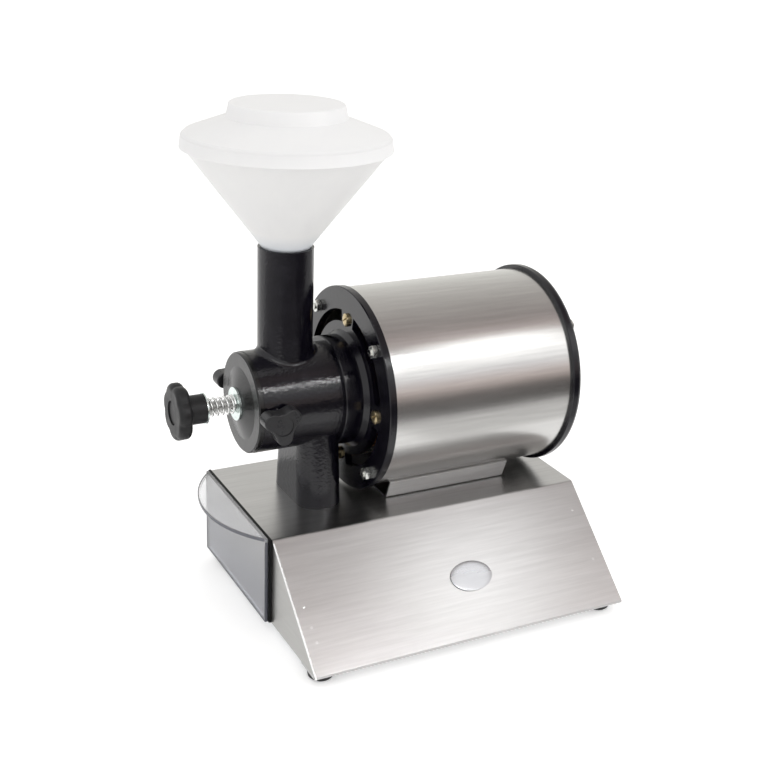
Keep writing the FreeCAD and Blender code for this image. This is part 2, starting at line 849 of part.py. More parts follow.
def rotor_core():
    radius = stator_bore - air_gap
    ring = 0.6 * radius
    profile = [(stator_x - end_ring, shaft_body_radius), (stator_x - end_ring, ring), (stator_x, radius),
               (stator_end_x, radius), (stator_end_x + end_ring, ring),
               (stator_end_x + end_ring, shaft_body_radius)]
    return turned_x(profile)


def motor_shaft():
    journal = bearing_bore - bearing_fit
    front_step = bearing_x + bearing_width + shaft_room
    rear_step = bell_x - shaft_room
    profile = [(worm_x, 0), (worm_x, nose_radius), (seat_x, nose_radius), (seat_x, burr_seat_radius),
               (seat_x + burr_seat, burr_seat_radius), (seat_x + burr_seat, journal), (front_step, journal),
               (front_step, shaft_body_radius), (rear_step, shaft_body_radius), (rear_step, journal),
               (fan_end_x, journal), (fan_end_x, 0)]
    holes = [rod_x(m4, seat_x - 1, seat_x + burr_seat + 1, y, z) for y, z in turning_screw_places()]
    return turned_x(profile).cut(holes)


def bearing(x0):
    """Sealed ball bearing: races with a shallow shield recess on both sides."""
    inner_land = bearing_bore + (bearing_outer - bearing_bore) * 0.25
    outer_land = bearing_outer - (bearing_outer - bearing_bore) * 0.25
    x1 = x0 + bearing_width
    dip = bearing_dip
    profile = [(x0, bearing_bore), (x0, inner_land), (x0 + dip, inner_land), (x0 + dip, outer_land),
               (x0, outer_land), (x0, bearing_outer), (x1, bearing_outer), (x1, outer_land),
               (x1 - dip, outer_land), (x1 - dip, inner_land), (x1, inner_land), (x1, bearing_bore)]
    return turned_x(profile)


def front_bearing():
    return bearing(bearing_x)


def rear_bearing():
    return bearing(bell_x)


def shaft_seal():
    x1 = chamber_x + seal_width
    return rod_x(seal_radius, chamber_x, x1).cut(rod_x(bearing_bore, chamber_x - 1, x1 + 1))


def rear_bell():
    outer = stator_bolt_circle + bolt_head_radius
    hub = bearing_outer + hub_wall
    plate_x = bell_x + bell_plate
    profile = [(bell_x, bearing_outer), (bell_x, outer), (plate_x, outer), (plate_x, hub), (bell_end_x, hub),
               (bell_end_x, bearing_outer)]
    cuts = []
    for i in range(4):
        start = flange_turn + 90 * i + slot_bridge
        sweep = 90 - 2 * slot_bridge
        cuts.append(ring_slot(hub + hub_wall, slot_inner, bell_x - 1, bell_end_x + 1, start, sweep))
    for y, z in quarter_places(stator_bolt_circle, flange_turn):
        cuts.append(rod_x(m6 + hole_room, bell_x - 1, bell_end_x + 1, y, z))
    return turned_x(profile).cut(cuts)


def cooling_fan():
    hub = bearing_bore + hub_wall
    profile = [(fan_x, bearing_bore - bearing_fit), (fan_x, fan_radius), (fan_x + fan_disc, fan_radius),
               (fan_x + fan_disc, hub), (fan_end_x, hub), (fan_end_x, bearing_bore - bearing_fit)]
    blades = []
    for i in range(fan_blades):
        blade = box(fan_x + fan_disc / 2, fan_end_x, hub - 1, fan_radius, axis_height - fan_disc / 2,
                    axis_height + fan_disc / 2)
        blade.rotate(V(0, 0, axis_height), V(1, 0, 0), 360 / fan_blades * i)
        blades.append(blade)
    return turned_x(profile).fuse(blades).removeSplitter()


def head_casting():
    body = rod_x(body_radius, body_x, collar_x)
    tube = rod_z(tube_radius, axis_height, tube_top, tube_x)
    foot = rounded_loop(chute_half_x, chute_half_y, chute_corner, chute_x, base_height)
    neck = rounded_loop(chute_top_half_x, chute_top_half_y, chute_corner, chute_x, axis_height)
    duct = Part.makeLoft([foot, neck], True, True)
    solid = body.fuse([tube, duct]).removeSplitter()
    joint = [e for e in solid.Edges if follows_tube_joint(e)]
    solid = solid.makeFillet(tube_fillet, joint)
    bosses = [rod_y(clamp_boss_radius, -clamp_seat, clamp_seat, clamp_x, axis_height)]
    seat_z = tube_top - seat_chamfer / hopper_slope
    chamfer = turned_z([(0, seat_z), (tube_bore, seat_z),
                        (tube_bore + seat_chamfer, tube_top), (0, tube_top)], tube_x)
    cuts = [rod_x(chamber_radius, body_x - 1, collar_x + 1), chute_bore(base_height - 1, axis_height),
            rod_x(collar_radius + slide_fit, collar_x, flange_front_x),
            rod_z(tube_bore, axis_height, tube_top + 1, tube_x), chamfer,
            rod_y(m8 + hole_room, -clamp_seat - 1, clamp_seat + 1, clamp_x, axis_height)]
    for side in (-1, 1):
        cuts.append(rod_z(m5, base_height - 1, base_height + head_screw_depth, chute_x, side * chute_screw_y))
    for y, z in quarter_places(head_screw_circle, 45):
        cuts.append(rod_x(m4, collar_x - head_screw_depth, collar_x + 1, y, z))
    solid = solid.fuse(bosses).cut(cuts)
    key_x = carriage_x + carriage_web
    key = box(key_x, key_x + key_length, -key_half_width, key_half_width,
              axis_height - chamber_radius - 1, axis_height - chamber_radius + key_height)
    return solid.fuse(key).removeSplitter()


def follows_tube_joint(edge):
    """Whether an edge runs where the feed tube meets the round body."""
    for p in edge.discretize(7):
        off_body = abs(math.hypot(p.y, p.z - axis_height) - body_radius)
        off_tube = abs(math.hypot(p.x - tube_x, p.y) - tube_radius)
        if max(off_body, off_tube) > 0.05:
            return False
    return True


def head_screws():
    screws = []
    for y, z in quarter_places(head_screw_circle, 45):
        head_x = flange_rear_x - 2 * m4
        screw = rod_x(m4, collar_x - head_screw_depth, head_x, y, z)
        screws.append(screw.fuse(rod_x(2 * m4, head_x, flange_rear_x, y, z)).removeSplitter())
    return Part.makeCompound(screws)


def chute_screws():
    screws = []
    for side in (-1, 1):
        y = side * chute_screw_y
        head = rod_z(bolt_head_radius, ceiling_z - bolt_head_height, ceiling_z, chute_x, y)
        shank = rod_z(m5, ceiling_z, base_height + head_screw_depth, chute_x, y)
        screws.append(head.fuse(shank).removeSplitter())
    return Part.makeCompound(screws)


def front_cover():
    spigot = chamber_radius - head_fit
    thread = m10 + hole_room
    edge = cover_edge
    profile = [(boss_x, thread), (boss_x, boss_radius - edge), (boss_x + 0.3 * edge, boss_radius),
               (rim_x, cone_radius), (rim_x, cover_radius - edge), (rim_x + edge, cover_radius),
               (body_x, cover_radius), (body_x, spigot), (clamp_x - clamp_groove, spigot),
               (clamp_x - clamp_tip, spigot - clamp_bite), (clamp_x + clamp_tip, spigot - clamp_bite),
               (clamp_x + clamp_groove, spigot), (spigot_x, spigot), (spigot_x, spigot - spigot_wall),
               (rim_x + cover_plate, spigot - spigot_wall), (rim_x + cover_plate, thread_hub_radius),
               (boss_x + thread_hub_length, thread_hub_radius), (boss_x + thread_hub_length, thread)]
    return turned_x(profile)


def cover_washer():
    x0 = boss_x - cover_washer_thick
    return rod_x(cover_washer_radius, x0, boss_x).cut(rod_x(m10 + slide_fit, x0 - 1, boss_x + 1))


def flight_section(step):
    """Section of the worm's flight after a number of steps round the helix."""
    angle = 2 * math.pi * step / worm_steps
    z = worm_pitch * step / worm_steps
    root = worm_core - worm_room
    corners = [(root, z - worm_flank / 2), (worm_radius, z - worm_land / 2), (worm_radius, z + worm_land / 2),
               (root, z + worm_flank / 2)]
    ring = [polar(radius, angle) + V(0, 0, height) for radius, height in corners]
    return Part.makePolygon(ring + [ring[0]])


def feed_worm():
    length = turning_x - worm_x
    steps = math.ceil(length / worm_pitch * worm_steps)
    flight = Part.makeLoft([flight_section(i) for i in range(steps + 1)], True, True)
    core = Part.makeCylinder(worm_core, length)
    trimmed = core.fuse(flight).common(Part.makeCylinder(worm_radius + 1, length))
    bored = trimmed.cut(Part.makeCylinder(nose_radius, length + 2, V(0, 0, -1))).Solids[0]
    return facing(bored, V(0, 1, 0), 90, worm_x, 0, axis_height)


def turning_screw_places():
    """Three (y, z) places of the screws that hold the turning burr."""
    return [on_circle(turning_screw_circle, 30 + 120 * i) for i in range(3)]


def fixed_screw_places():
    """Three (y, z) places of the screws that hold the fixed burr."""
    return [on_circle(fixed_screw_circle, 30 + 120 * i) for i in range(3)]


def tooth_grooves(face_x, way, inner):
    """Skewed V grooves cut into a burr's working face."""
    depth = way * tooth_depth
    grooves = []
    for i in range(burr_teeth):
        section = [V(face_x - way, inner, -tooth_width), V(face_x - way, inner, tooth_width),
                   V(face_x + depth, inner, 0)]
        groove = flat_face(section).extrude(V(0, burr_radius - inner + 3, 0))
        groove.rotate(V(0, inner, 0), V(1, 0, 0), tooth_skew)
        groove.translate(V(0, 0, axis_height))
        groove.rotate(V(0, 0, axis_height), V(1, 0, 0), 360 / burr_teeth * i)
        grooves.append(groove)
    return grooves


def countersunk(x0, length, way, y, z):
    """Countersunk screw along X: its flat head lies at x0 and its shank runs the way given."""
    sink = burr_screw_head - m4
    x1 = x0 + way * length
    profile = [(x0, 0), (x0, burr_screw_head), (x0 + way * sink, m4), (x1, m4), (x1, 0)]
    return turned_x(profile, y, z)


def rotating_burr():
    ring = rod_x(burr_radius, turning_x, seat_x).cut(rod_x(nose_radius, turning_x - 1, seat_x + 1))
    length = burr_thickness + burr_seat
    screws = [countersunk(turning_x, length, 1, y, z) for y, z in turning_screw_places()]
    return ring.cut(tooth_grooves(turning_x, 1, burr_eye + 1) + screws)


def rotating_burr_screws():
    length = burr_thickness + burr_seat
    return Part.makeCompound([countersunk(turning_x, length, 1, y, z) for y, z in turning_screw_places()])


def fixed_burr():
    rear_x = fixed_x + burr_thickness
    ring = rod_x(burr_radius, fixed_x, rear_x).cut(rod_x(burr_eye, fixed_x - 1, rear_x + 1))
    screws = [countersunk(rear_x - tooth_depth, burr_thickness + head_screw_depth, -1, y, z)
              for y, z in fixed_screw_places()]
    sinks = [rod_x(burr_screw_head, rear_x - tooth_depth, rear_x + 1, y, z) for y, z in fixed_screw_places()]
    return ring.cut(tooth_grooves(rear_x, -1, burr_eye + 2) + screws + sinks)


def fixed_burr_screws():
    head_x = fixed_x + burr_thickness - tooth_depth
    length = burr_thickness + head_screw_depth - tooth_depth
    return Part.makeCompound([countersunk(head_x, length, -1, y, z) for y, z in fixed_screw_places()])


def burr_carriage():
    radius = chamber_radius - slide_fit
    web_x = carriage_x + carriage_web
    neck = neck_radius + hole_room
    profile = [(carriage_x, neck), (carriage_x, radius), (fixed_x, radius), (fixed_x, worm_bore),
               (web_x, worm_bore), (web_x, neck)]
    slot = box(carriage_x - 1, web_x + key_length + carriage_room, -key_half_width - key_room,
               key_half_width + key_room, axis_height - radius - 1,
               axis_height - chamber_radius + key_height + key_room)
    window = rod_z(window_radius, axis_height, axis_height + radius + 1, tube_x)
    cuts = [slot, window]
    for y, z in fixed_screw_places():
        cuts.append(rod_x(m4, fixed_x - head_screw_depth, fixed_x + 1, y, z))
    return turned_x(profile).cut(cuts)


def adjuster_screw():
    shoulder_x = carriage_x - turn_gap
    end_x = carriage_x + carriage_web + 2 * clip_thick + turn_gap
    tip_x = insert_x + screw_end_room
    profile = [(tip_x, 0), (tip_x, m10), (shoulder_x, m10), (shoulder_x, neck_radius),
               (end_x, neck_radius), (end_x, 0)]
    return turned_x(profile)


def screw_clip():
    x0 = carriage_x + carriage_web + turn_gap
    ring = rod_x(clip_radius, x0, x0 + clip_thick).cut(rod_x(neck_radius, x0 - 1, x0 + 2 * clip_thick))
    mouth = box(x0 - 1, x0 + 2 * clip_thick, 0, 2 * clip_radius, axis_height - neck_radius * 0.7,
                axis_height + neck_radius * 0.7)
    return ring.cut(mouth)


def insert_line():
    """Outer line of the bush moulded into the knob, with the groove that holds it."""
    groove_end = insert_groove_x + insert_groove_width
    waist = insert_radius - insert_groove
    return [(insert_x, insert_radius), (insert_groove_x, insert_radius), (insert_groove_x, waist),
            (groove_end, waist), (groove_end, insert_radius), (hub_x, insert_radius)]


def adjuster_knob():
    grip = lobed_grip(knob_lobes, knob_radius, knob_lobe, knob_hollow, knob_thickness, knob_round)
    grip = facing(grip, V(0, 1, 0), 90, knob_x, 0, axis_height)
    solid = grip.fuse(rod_x(hub_radius, knob_back_x - 1, hub_x))
    dish = rod_x(knob_dish_radius, knob_x - 1, knob_x + knob_dish_depth)
    bush = turned_x([(insert_x, 0)] + insert_line() + [(hub_x, 0)])
    mouth = rod_x(insert_radius, hub_x - 1, hub_x + 1)
    return solid.cut([dish, bush, mouth]).removeSplitter()


def knob_insert():
    return turned_x([(insert_x, m10)] + insert_line() + [(hub_x, m10)])


def hub_washer():
    x1 = hub_washer_x + hub_washer_thick
    return rod_x(hub_washer_radius, hub_washer_x, x1).cut(rod_x(m10 + slide_fit, hub_washer_x - 1, x1 + 1))


def spring_points():
    """Places and directions along the spring's wire: a quarter turn apart, closing up at both ends."""
    height = spring_length - 2 * (spring_wire + spring_seat)
    quarters = 4 * spring_turns
    step = math.pi / 2
    rise = height / (quarters + 4 * spring_wire / (step * spring_radius))
    start_x = spring_end_x - (spring_length + rise * quarters) / 2
    places = []
    for i in range(quarters + 1):
        angle = step * i
        slope = rise / step
        across = spring_radius * math.cos(angle)
        up = spring_radius * math.sin(angle)
        place = V(start_x + rise * i, across, axis_height + up)
        way = V(slope, -up, across)
        places.append((place, way.normalize()))
    return places


def arc_from(start, way, end):
    """Round arc that leaves a place in a direction and ends at another place."""
    chord = end - start
    along = V(chord).normalize()
    side = way - along * way.dot(along)
    bend = math.atan2(side.Length, way.dot(along))
    middle = start + chord * 0.5 + side.normalize() * (chord.Length / 2 * math.tan(bend / 2))
    return Part.Arc(start, middle, end).toShape()


def biarc(first, second):
    """Two tangent arcs between two places with given directions."""
    (a, s), (b, t) = first, second
    gap = b - a
    both = s + t
    bend = 2 * (1 - s.dot(t))
    reach = (math.sqrt(gap.dot(both) ** 2 + bend * gap.dot(gap)) - gap.dot(both)) / bend
    middle = (a + s * reach + b - t * reach) * 0.5
    back = arc_from(b, t * -1, middle)
    last = Part.Arc(middle, back.valueAt((back.FirstParameter + back.LastParameter) / 2), b).toShape()
    return [arc_from(a, s, middle), last]


def adjuster_spring():
    places = spring_points()
    (start, out_way), (end, in_way) = places[0], places[-1]
    run = 2 * spring_wire
    tail = start - out_way * run
    edges = [Part.makeLine(tail, start)]
    for first, second in zip(places, places[1:]):
        edges += biarc(first, second)
    edges.append(Part.makeLine(end, end + in_way * run))
    path = Part.Wire(edges)
    loop = Part.Wire(Part.makeCircle(spring_wire, tail, out_way))
    wire = path.makePipeShell([loop], True, False)
    print("spring volume against section times length", wire.Volume, math.pi * spring_wire ** 2 * path.Length)
    print("spring least gap between turns", spring_clearance(path))
    return wire


def spring_clearance(path):
    """Least distance between the wire's own turns, measured on points along its middle."""
    points = path.discretize(40 * spring_turns)
    step = path.Length / (len(points) - 1)
    apart = int(math.pi * spring_radius / step)
    least = min((p - q).Length for i, p in enumerate(points) for q in points[i + apart:])
    return least - 2 * spring_wire


def clamp_pieces(side):
    """Clamp knob, stud and washer on one side of the head: side is -1 for the operator's side."""
    seat = clamp_seat
    washer = Part.makeCylinder(clamp_washer_radius, clamp_washer, V(0, 0, seat))
    washer = washer.cut(Part.makeCylinder(m8 + slide_fit, clamp_washer + 2, V(0, 0, seat - 1)))
    foot = seat + clamp_washer + turn_gap
    grip = lobed_grip(3, clamp_tip_radius, clamp_lobe, clamp_hollow, clamp_height, clamp_round)
    grip.translate(V(0, 0, foot))
    top = foot + clamp_height - clamp_face
    dish = Part.makeCylinder(clamp_dish_radius, clamp_height, V(0, 0, foot + clamp_height - clamp_dish_depth))
    bore = Part.makeCylinder(m8, top - foot + 1, V(0, 0, foot - 1))
    knob = grip.cut([dish, bore]).removeSplitter()
    tip = chamber_radius - head_fit - clamp_bite + turn_gap
    stud_line = [(0, tip), (clamp_tip - turn_gap, tip), (m8 - turn_gap, tip + m8 - clamp_tip),
                 (m8, tip + m8 - clamp_tip + 1), (m8, top), (0, top)]
    face = flat_face([V(r, 0, z) for r, z in stud_line])
    stud = face.revolve(V(0, 0, 0), V(0, 0, 1), 360)
    placed = []
    for piece in (knob, stud, washer):
        piece.rotate(V(0, 0, 0), V(0, 0, 1), clamp_turn_front if side < 0 else clamp_turn_rear)
        placed.append(facing(piece, V(1, 0, 0), -90 * side, clamp_x, 0, axis_height))
    return placed


def hopper():
    bend = hopper_wall * math.hypot(1, hopper_slope)
    tip_radius = spout_radius - spout_draft
    spout_z = cone_z - spout_length
    inner_z = cone_z + (bend - hopper_wall) / hopper_slope
    top_inner_z = hopper_z + (bend - hopper_wall) / hopper_slope
    profile = [(tip_radius - hopper_wall, spout_z), (tip_radius, spout_z), (spout_radius, cone_z),
               (hopper_radius, hopper_z), (hopper_radius, rim_z), (hopper_radius - hopper_wall, rim_z),
               (hopper_radius - hopper_wall, top_inner_z), (spout_radius - hopper_wall, inner_z)]
    return turned_z(profile, tube_x)


def hopper_lid():
    skirt_top = lid_skirt_radius - lid_draft
    crown_z = shoulder_z + lid_cone_rise
    top_z = crown_z + lid_boss_height
    boss_top = lid_boss_radius - lid_boss_draft
    edge = turned_edge
    wall = hopper_wall
    profile = [(hopper_radius + lid_play + lid_lead, skirt_z), (lid_skirt_radius, skirt_z),
               (skirt_top, shoulder_z - lid_shoulder), (skirt_top - lid_shoulder, shoulder_z),
               (lid_boss_radius, crown_z), (boss_top, top_z - edge), (boss_top - edge, top_z), (0, top_z),
               (0, top_z - wall), (boss_top - wall, top_z - wall),
               (lid_boss_radius - wall, crown_z - wall / 2), (skirt_top - lid_shoulder, shoulder_z - wall),
               (hopper_radius + lid_play, shoulder_z - wall), (hopper_radius + lid_play, skirt_z + edge)]
    return turned_z(profile, tube_x)


def switch_housing():
    inner_y = switch_half_y - switch_wall
    inner_z = switch_half_z - switch_wall
    frame = box(right_x, right_x + switch_frame, switch_y - switch_half_y, switch_y + switch_half_y,
                switch_z - switch_half_z, switch_z + switch_half_z)
    outer = [e for e in frame.Edges if e.BoundBox.XMin > right_x + switch_frame - 0.01]
    frame = frame.makeChamfer(switch_edge, outer)
    body = box(right_x - switch_depth, right_x, switch_y - inner_y, switch_y + inner_y, switch_z - inner_z,
               switch_z + inner_z)
    half_y = inner_y - switch_wall
    half_z = inner_z - switch_lip
    pocket = box(right_x - switch_depth + switch_floor, right_x + switch_frame + 1, switch_y - half_y,
                 switch_y + half_y, switch_z - half_z, switch_z + half_z)
    pivot = rod_y(rocker_pin, switch_y - half_y, switch_y + half_y, right_x - rocker_pivot, switch_z)
    return frame.fuse(body).cut(pocket).fuse(pivot).removeSplitter()


def switch_rocker():
    half_y = switch_half_y - 2 * switch_wall - rocker_play
    x0 = right_x - rocker_pivot
    y0 = switch_y - half_y
    line = [(-rocker_foot, -rocker_foot), (rocker_shoulder, -rocker_half_z), (rocker_rise, -rocker_half_z),
            (rocker_dip, 0.0), (rocker_rise, rocker_half_z), (rocker_shoulder, rocker_half_z),
            (-rocker_foot, rocker_foot)]
    body = flat_face([V(x0 + u, y0, switch_z + w) for u, w in line]).extrude(V(0, 2 * half_y, 0))
    body = body.cut(rod_y(rocker_pin + hole_room, y0 - 1, y0 + 2 * half_y + 1, x0, switch_z))
    body.rotate(V(x0, 0, switch_z), V(0, 1, 0), rocker_tilt)
    return body


def cord_grommet():
    inner_x = right_x - sheet - hole_room
    outer_x = right_x + hole_room
    rim = inlet_radius + inlet_rim
    profile = [(inner_x - inlet_reach, inlet_bore), (inner_x - inlet_reach, rim - 1), (inner_x, rim),
               (inner_x, inlet_radius), (outer_x, inlet_radius), (outer_x, rim),
               (outer_x + inlet_reach, rim - 1), (outer_x + inlet_reach, inlet_bore)]
    return turned_x(profile, inlet_y, inlet_z)


def capacitor():
    z = floor_z + capacitor_radius
    x1 = capacitor_x + capacitor_length
    edge = capacitor_edge
    x0 = capacitor_x
    profile = [(x0, 0), (x0, capacitor_radius - edge), (x0 + edge, capacitor_radius),
               (x1 - edge, capacitor_radius), (x1, capacitor_radius - edge), (x1, 0)]
    return turned_x(profile, capacitor_y, z)


def capacitor_clip():
    z = floor_z + capacitor_radius
    inner = capacitor_radius + hole_room
    outer = inner + clip_strap
    x0 = capacitor_x + (capacitor_length - clip_width) / 2
    x1 = x0 + clip_width
    below = box(x0 - 1, x1 + 1, capacitor_y - 2 * outer, capacitor_y + 2 * outer, z - 2 * outer, z)
    strap = rod_x(outer, x0, x1, capacitor_y, z).cut(below)
    legs = box(x0, x1, capacitor_y - outer, capacitor_y + outer, floor_z, z)
    reach = outer + clip_foot
    feet = box(x0, x1, capacitor_y - reach, capacitor_y + reach, floor_z, floor_z + clip_strap)
    room = box(x0 - 1, x1 + 1, capacitor_y - inner, capacitor_y + inner, floor_z - 1, z)
    return strap.fuse([legs, feet]).cut([rod_x(inner, x0 - 1, x1 + 1, capacitor_y, z), room]).removeSplitter()


def save(name, shape):
    """Move a finished piece to the mill's own origin and write it."""
    placed = shape.copy()
    placed.translate(V(-origin_x, -origin_y, 0))
    placed.exportStep("parts/" + name + ".step")


def main():
    os.makedirs("parts", exist_ok=True)
    pieces = [base_shell, left_end_panel, right_end_panel, bottom_plate, drawer_guide, drawer_bezel, drawer,
              rubber_feet, foot_screws, motor_cradle, cradle_bolts, cradle_nuts, motor_jacket, front_flange,
              rear_cap, jacket_studs, stud_nuts, stator_bolts, stator_spacers, stator_core, windings,
              rotor_core, motor_shaft, front_bearing, rear_bearing, shaft_seal, rear_bell, cooling_fan,
              head_casting, head_screws, chute_screws, front_cover, cover_washer, feed_worm, rotating_burr,
              rotating_burr_screws, fixed_burr, fixed_burr_screws, burr_carriage, adjuster_screw, screw_clip,
              adjuster_knob, knob_insert, hub_washer, adjuster_spring, hopper, hopper_lid, switch_housing,
              switch_rocker, cord_grommet, capacitor, capacitor_clip]
    for piece in pieces:
        save(piece.__name__, piece())
    for side, end in ((-1, "front"), (1, "rear")):
        for name, shape in zip(("knob", "stud", "washer"), clamp_pieces(side)):
            save("clamp_" + name + "_" + end, shape)
    print("origin from the middle of the base and the shaft", origin_x, origin_y)


main()
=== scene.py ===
"""Looks of an electric grain mill: brushed steel base and drum, black grinding head, milky hopper."""
import logging
import math
from dataclasses import dataclass
from enum import Enum

import bmesh
import bpy
import numpy as np
from mathutils import Matrix, Vector


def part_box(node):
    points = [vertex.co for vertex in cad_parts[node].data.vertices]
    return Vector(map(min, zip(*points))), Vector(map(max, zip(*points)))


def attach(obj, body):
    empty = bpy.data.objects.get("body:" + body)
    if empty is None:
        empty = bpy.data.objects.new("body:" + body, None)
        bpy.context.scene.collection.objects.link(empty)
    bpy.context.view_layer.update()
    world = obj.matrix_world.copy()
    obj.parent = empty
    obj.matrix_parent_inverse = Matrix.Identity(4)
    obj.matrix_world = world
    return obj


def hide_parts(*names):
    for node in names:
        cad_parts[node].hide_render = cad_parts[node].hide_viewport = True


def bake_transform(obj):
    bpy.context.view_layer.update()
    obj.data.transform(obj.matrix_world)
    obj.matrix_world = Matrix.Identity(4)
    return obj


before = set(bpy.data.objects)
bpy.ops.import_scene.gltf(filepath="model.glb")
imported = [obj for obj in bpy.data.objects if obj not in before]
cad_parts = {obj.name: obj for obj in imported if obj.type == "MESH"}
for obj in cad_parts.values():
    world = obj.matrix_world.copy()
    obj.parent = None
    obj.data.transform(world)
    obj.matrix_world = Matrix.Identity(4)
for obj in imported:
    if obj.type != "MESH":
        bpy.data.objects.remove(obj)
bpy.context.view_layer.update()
LOG = logging.getLogger("grain_mill")
TURN = 2 * math.pi
ALONG_X = np.array((1.0, 0.0, 0.0))
UPWARD = np.array((0.0, 0.0, 1.0))
WHITE = (1.0, 1.0, 1.0)
OPAQUE_WHITE = (1.0, 1.0, 1.0, 1.0)
OPAQUE_BLACK = (0.0, 0.0, 0.0, 1.0)
MIX_SHARE, MIX_FIRST, MIX_SECOND, MIX_RESULT = 0, 6, 7, 2
Socket = bpy.types.NodeSocket
Pair = tuple[float, float]
Triple = tuple[float, float, float]


class Axis(Enum):
    """Direction of a turned piece or of a grain: the axis first, then the two directions across it."""

    X = ((1, 0, 0), (0, 1, 0), (0, 0, 1))
    Y = ((0, 1, 0), (0, 0, 1), (1, 0, 0))

    def vectors(self) -> np.ndarray:
        """Return the three directions as the rows of an array."""
        return np.array(self.value, float)


class Wave(Enum):
    """Form of a wave pattern: rings about an axis, or bands along it."""

    RINGS = "RINGS"
    BANDS = "BANDS"


class Blend(Enum):
    """Way that two colours are put together: a share of each, or the one times the other."""

    SHARES = "MIX"
    TIMES = "MULTIPLY"


@dataclass(frozen=True)
class Sheet:
    """A grid of points of shape (rows, columns, 3).

    Its columns may close on themselves, and its first and last rows may each be closed with a fan of faces.
    """

    grid: np.ndarray
    wraps: bool = True
    capped: bool = False


class Surface:
    """Meshes worked out as grids of points."""

    @staticmethod
    def piece(name: str, sheets: list[Sheet], crease: float = 35.0) -> bpy.types.Object:
        """Join grids of points into one smooth piece.

        Args:
            name: name of the new object.
            sheets: the grids.
            crease: edges sharper than this many degrees stay sharp.

        Returns:
            The new object, at the origin.
        """
        points, faces, base = [], [], 0
        for sheet in sheets:
            rows, columns = sheet.grid.shape[:2]
            index = np.arange(rows * columns).reshape(rows, columns) + base
            across = np.concatenate([index, index[:, :1]], axis=1) if sheet.wraps else index
            corners = [across[:-1, :-1], across[:-1, 1:], across[1:, 1:], across[1:, :-1]]
            faces += np.stack(corners, axis=-1).reshape(-1, 4).tolist()
            points.append(sheet.grid.reshape(-1, 3))
            base += rows * columns
            for row in (0, -1) if sheet.capped else ():
                ring = across[row]
                points.append(sheet.grid[row].mean(axis=0, keepdims=True))
                faces += np.stack([np.full(len(ring) - 1, base), ring[:-1], ring[1:]], axis=-1).tolist()
                base += 1
        mesh = bpy.data.meshes.new(name)
        mesh.from_pydata(np.concatenate(points).tolist(), [], faces)
        Surface.face_outwards(mesh)
        mesh.shade_smooth()
        mesh.set_sharp_from_angle(angle=math.radians(crease))
        made = bpy.data.objects.new(name, mesh)
        bpy.context.scene.collection.objects.link(made)
        return made

    @staticmethod
    def face_outwards(mesh: bpy.types.Mesh, nearest: float = 1e-7) -> None:
        """Merge doubled points and turn every face outwards.

        Args:
            mesh: the mesh to mend.
            nearest: points closer than this are one point.
        """
        work = bmesh.new()
        work.from_mesh(mesh)
        bmesh.ops.remove_doubles(work, verts=work.verts, dist=nearest)
        bmesh.ops.recalc_face_normals(work, faces=work.faces)
        work.to_mesh(mesh)
        work.free()

    @staticmethod
    def circle(columns: int) -> np.ndarray:
        """Return even angles round a full turn."""
        return np.arange(columns) * TURN / columns

    @staticmethod
    def turned(along: np.ndarray, radius: np.ndarray, axis: Axis, centre: np.ndarray) -> np.ndarray:
        """Grid of a turned form: point = centre + along * axis + radius * (cos t, sin t) across the axis.

        Args:
            along: places along the axis, one per row.
            radius: radius per row and column.
            axis: direction of the axis.
            centre: point that the places are counted from.

        Returns:
            Points of shape (rows, columns, 3).
        """
        forward, first, second = axis.vectors()
        angle = Surface.circle(radius.shape[1])[:, None]
        across = np.cos(angle) * first + np.sin(angle) * second
        spine = centre + along[:, None] * forward
        return spine[:, None] + radius[:, :, None] * across

    @staticmethod
    def tube(path: np.ndarray, outward: np.ndarray, wire: float, sides: int) -> np.ndarray:
        """Grid of a round wire: point = path + wire * (cos a * outward + sin a * (ahead x outward)).

        Args:
            path: points of the wire's middle line.
            outward: a direction across the line at each of its points.
            wire: radius of the wire.
            sides: number of points round the wire.

        Returns:
            Points of shape (path points, sides, 3).
        """
        ahead = np.gradient(path, axis=0)
        ahead /= np.linalg.norm(ahead, axis=1, keepdims=True)
        side = np.cross(ahead, outward)
        angle = Surface.circle(sides)[:, None]
        return path[:, None] + wire * (np.cos(angle) * outward[:, None] + np.sin(angle) * side[:, None])

    @staticmethod
    def flat(centre: Triple, across: Triple, up: Triple) -> np.ndarray:
        """Grid of a flat sheet: point = centre + u * across + v * up, with u and v at -1 and 1.

        Args:
            centre: middle of the sheet.
            across: half of its one side.
            up: half of its other side.

        Returns:
            Points of shape (2, 2, 3).
        """
        v, u = np.meshgrid((-1, 1), (-1, 1), indexing="ij")
        return np.array(centre) + u[:, :, None] * np.array(across) + v[:, :, None] * np.array(up)


def seen_rays(tree: bpy.types.NodeTree) -> Socket:
    """Find the rays that show a thing itself.

    Args:
        tree: node tree that the nodes are added to.

    Returns:
        A factor of 1 for camera, gloss and clear rays, and 0 for the rest.
    """
    path = tree.nodes.new("ShaderNodeLightPath")
    seen = path.outputs["Is Camera Ray"]
    for ray in ("Is Glossy Ray", "Is Transmission Ray"):
        either = tree.nodes.new("ShaderNodeMath")
        either.operation = "MAXIMUM"
        tree.links.new(seen, either.inputs[0])
        tree.links.new(path.outputs[ray], either.inputs[1])
        seen = either.outputs["Value"]
    return seen


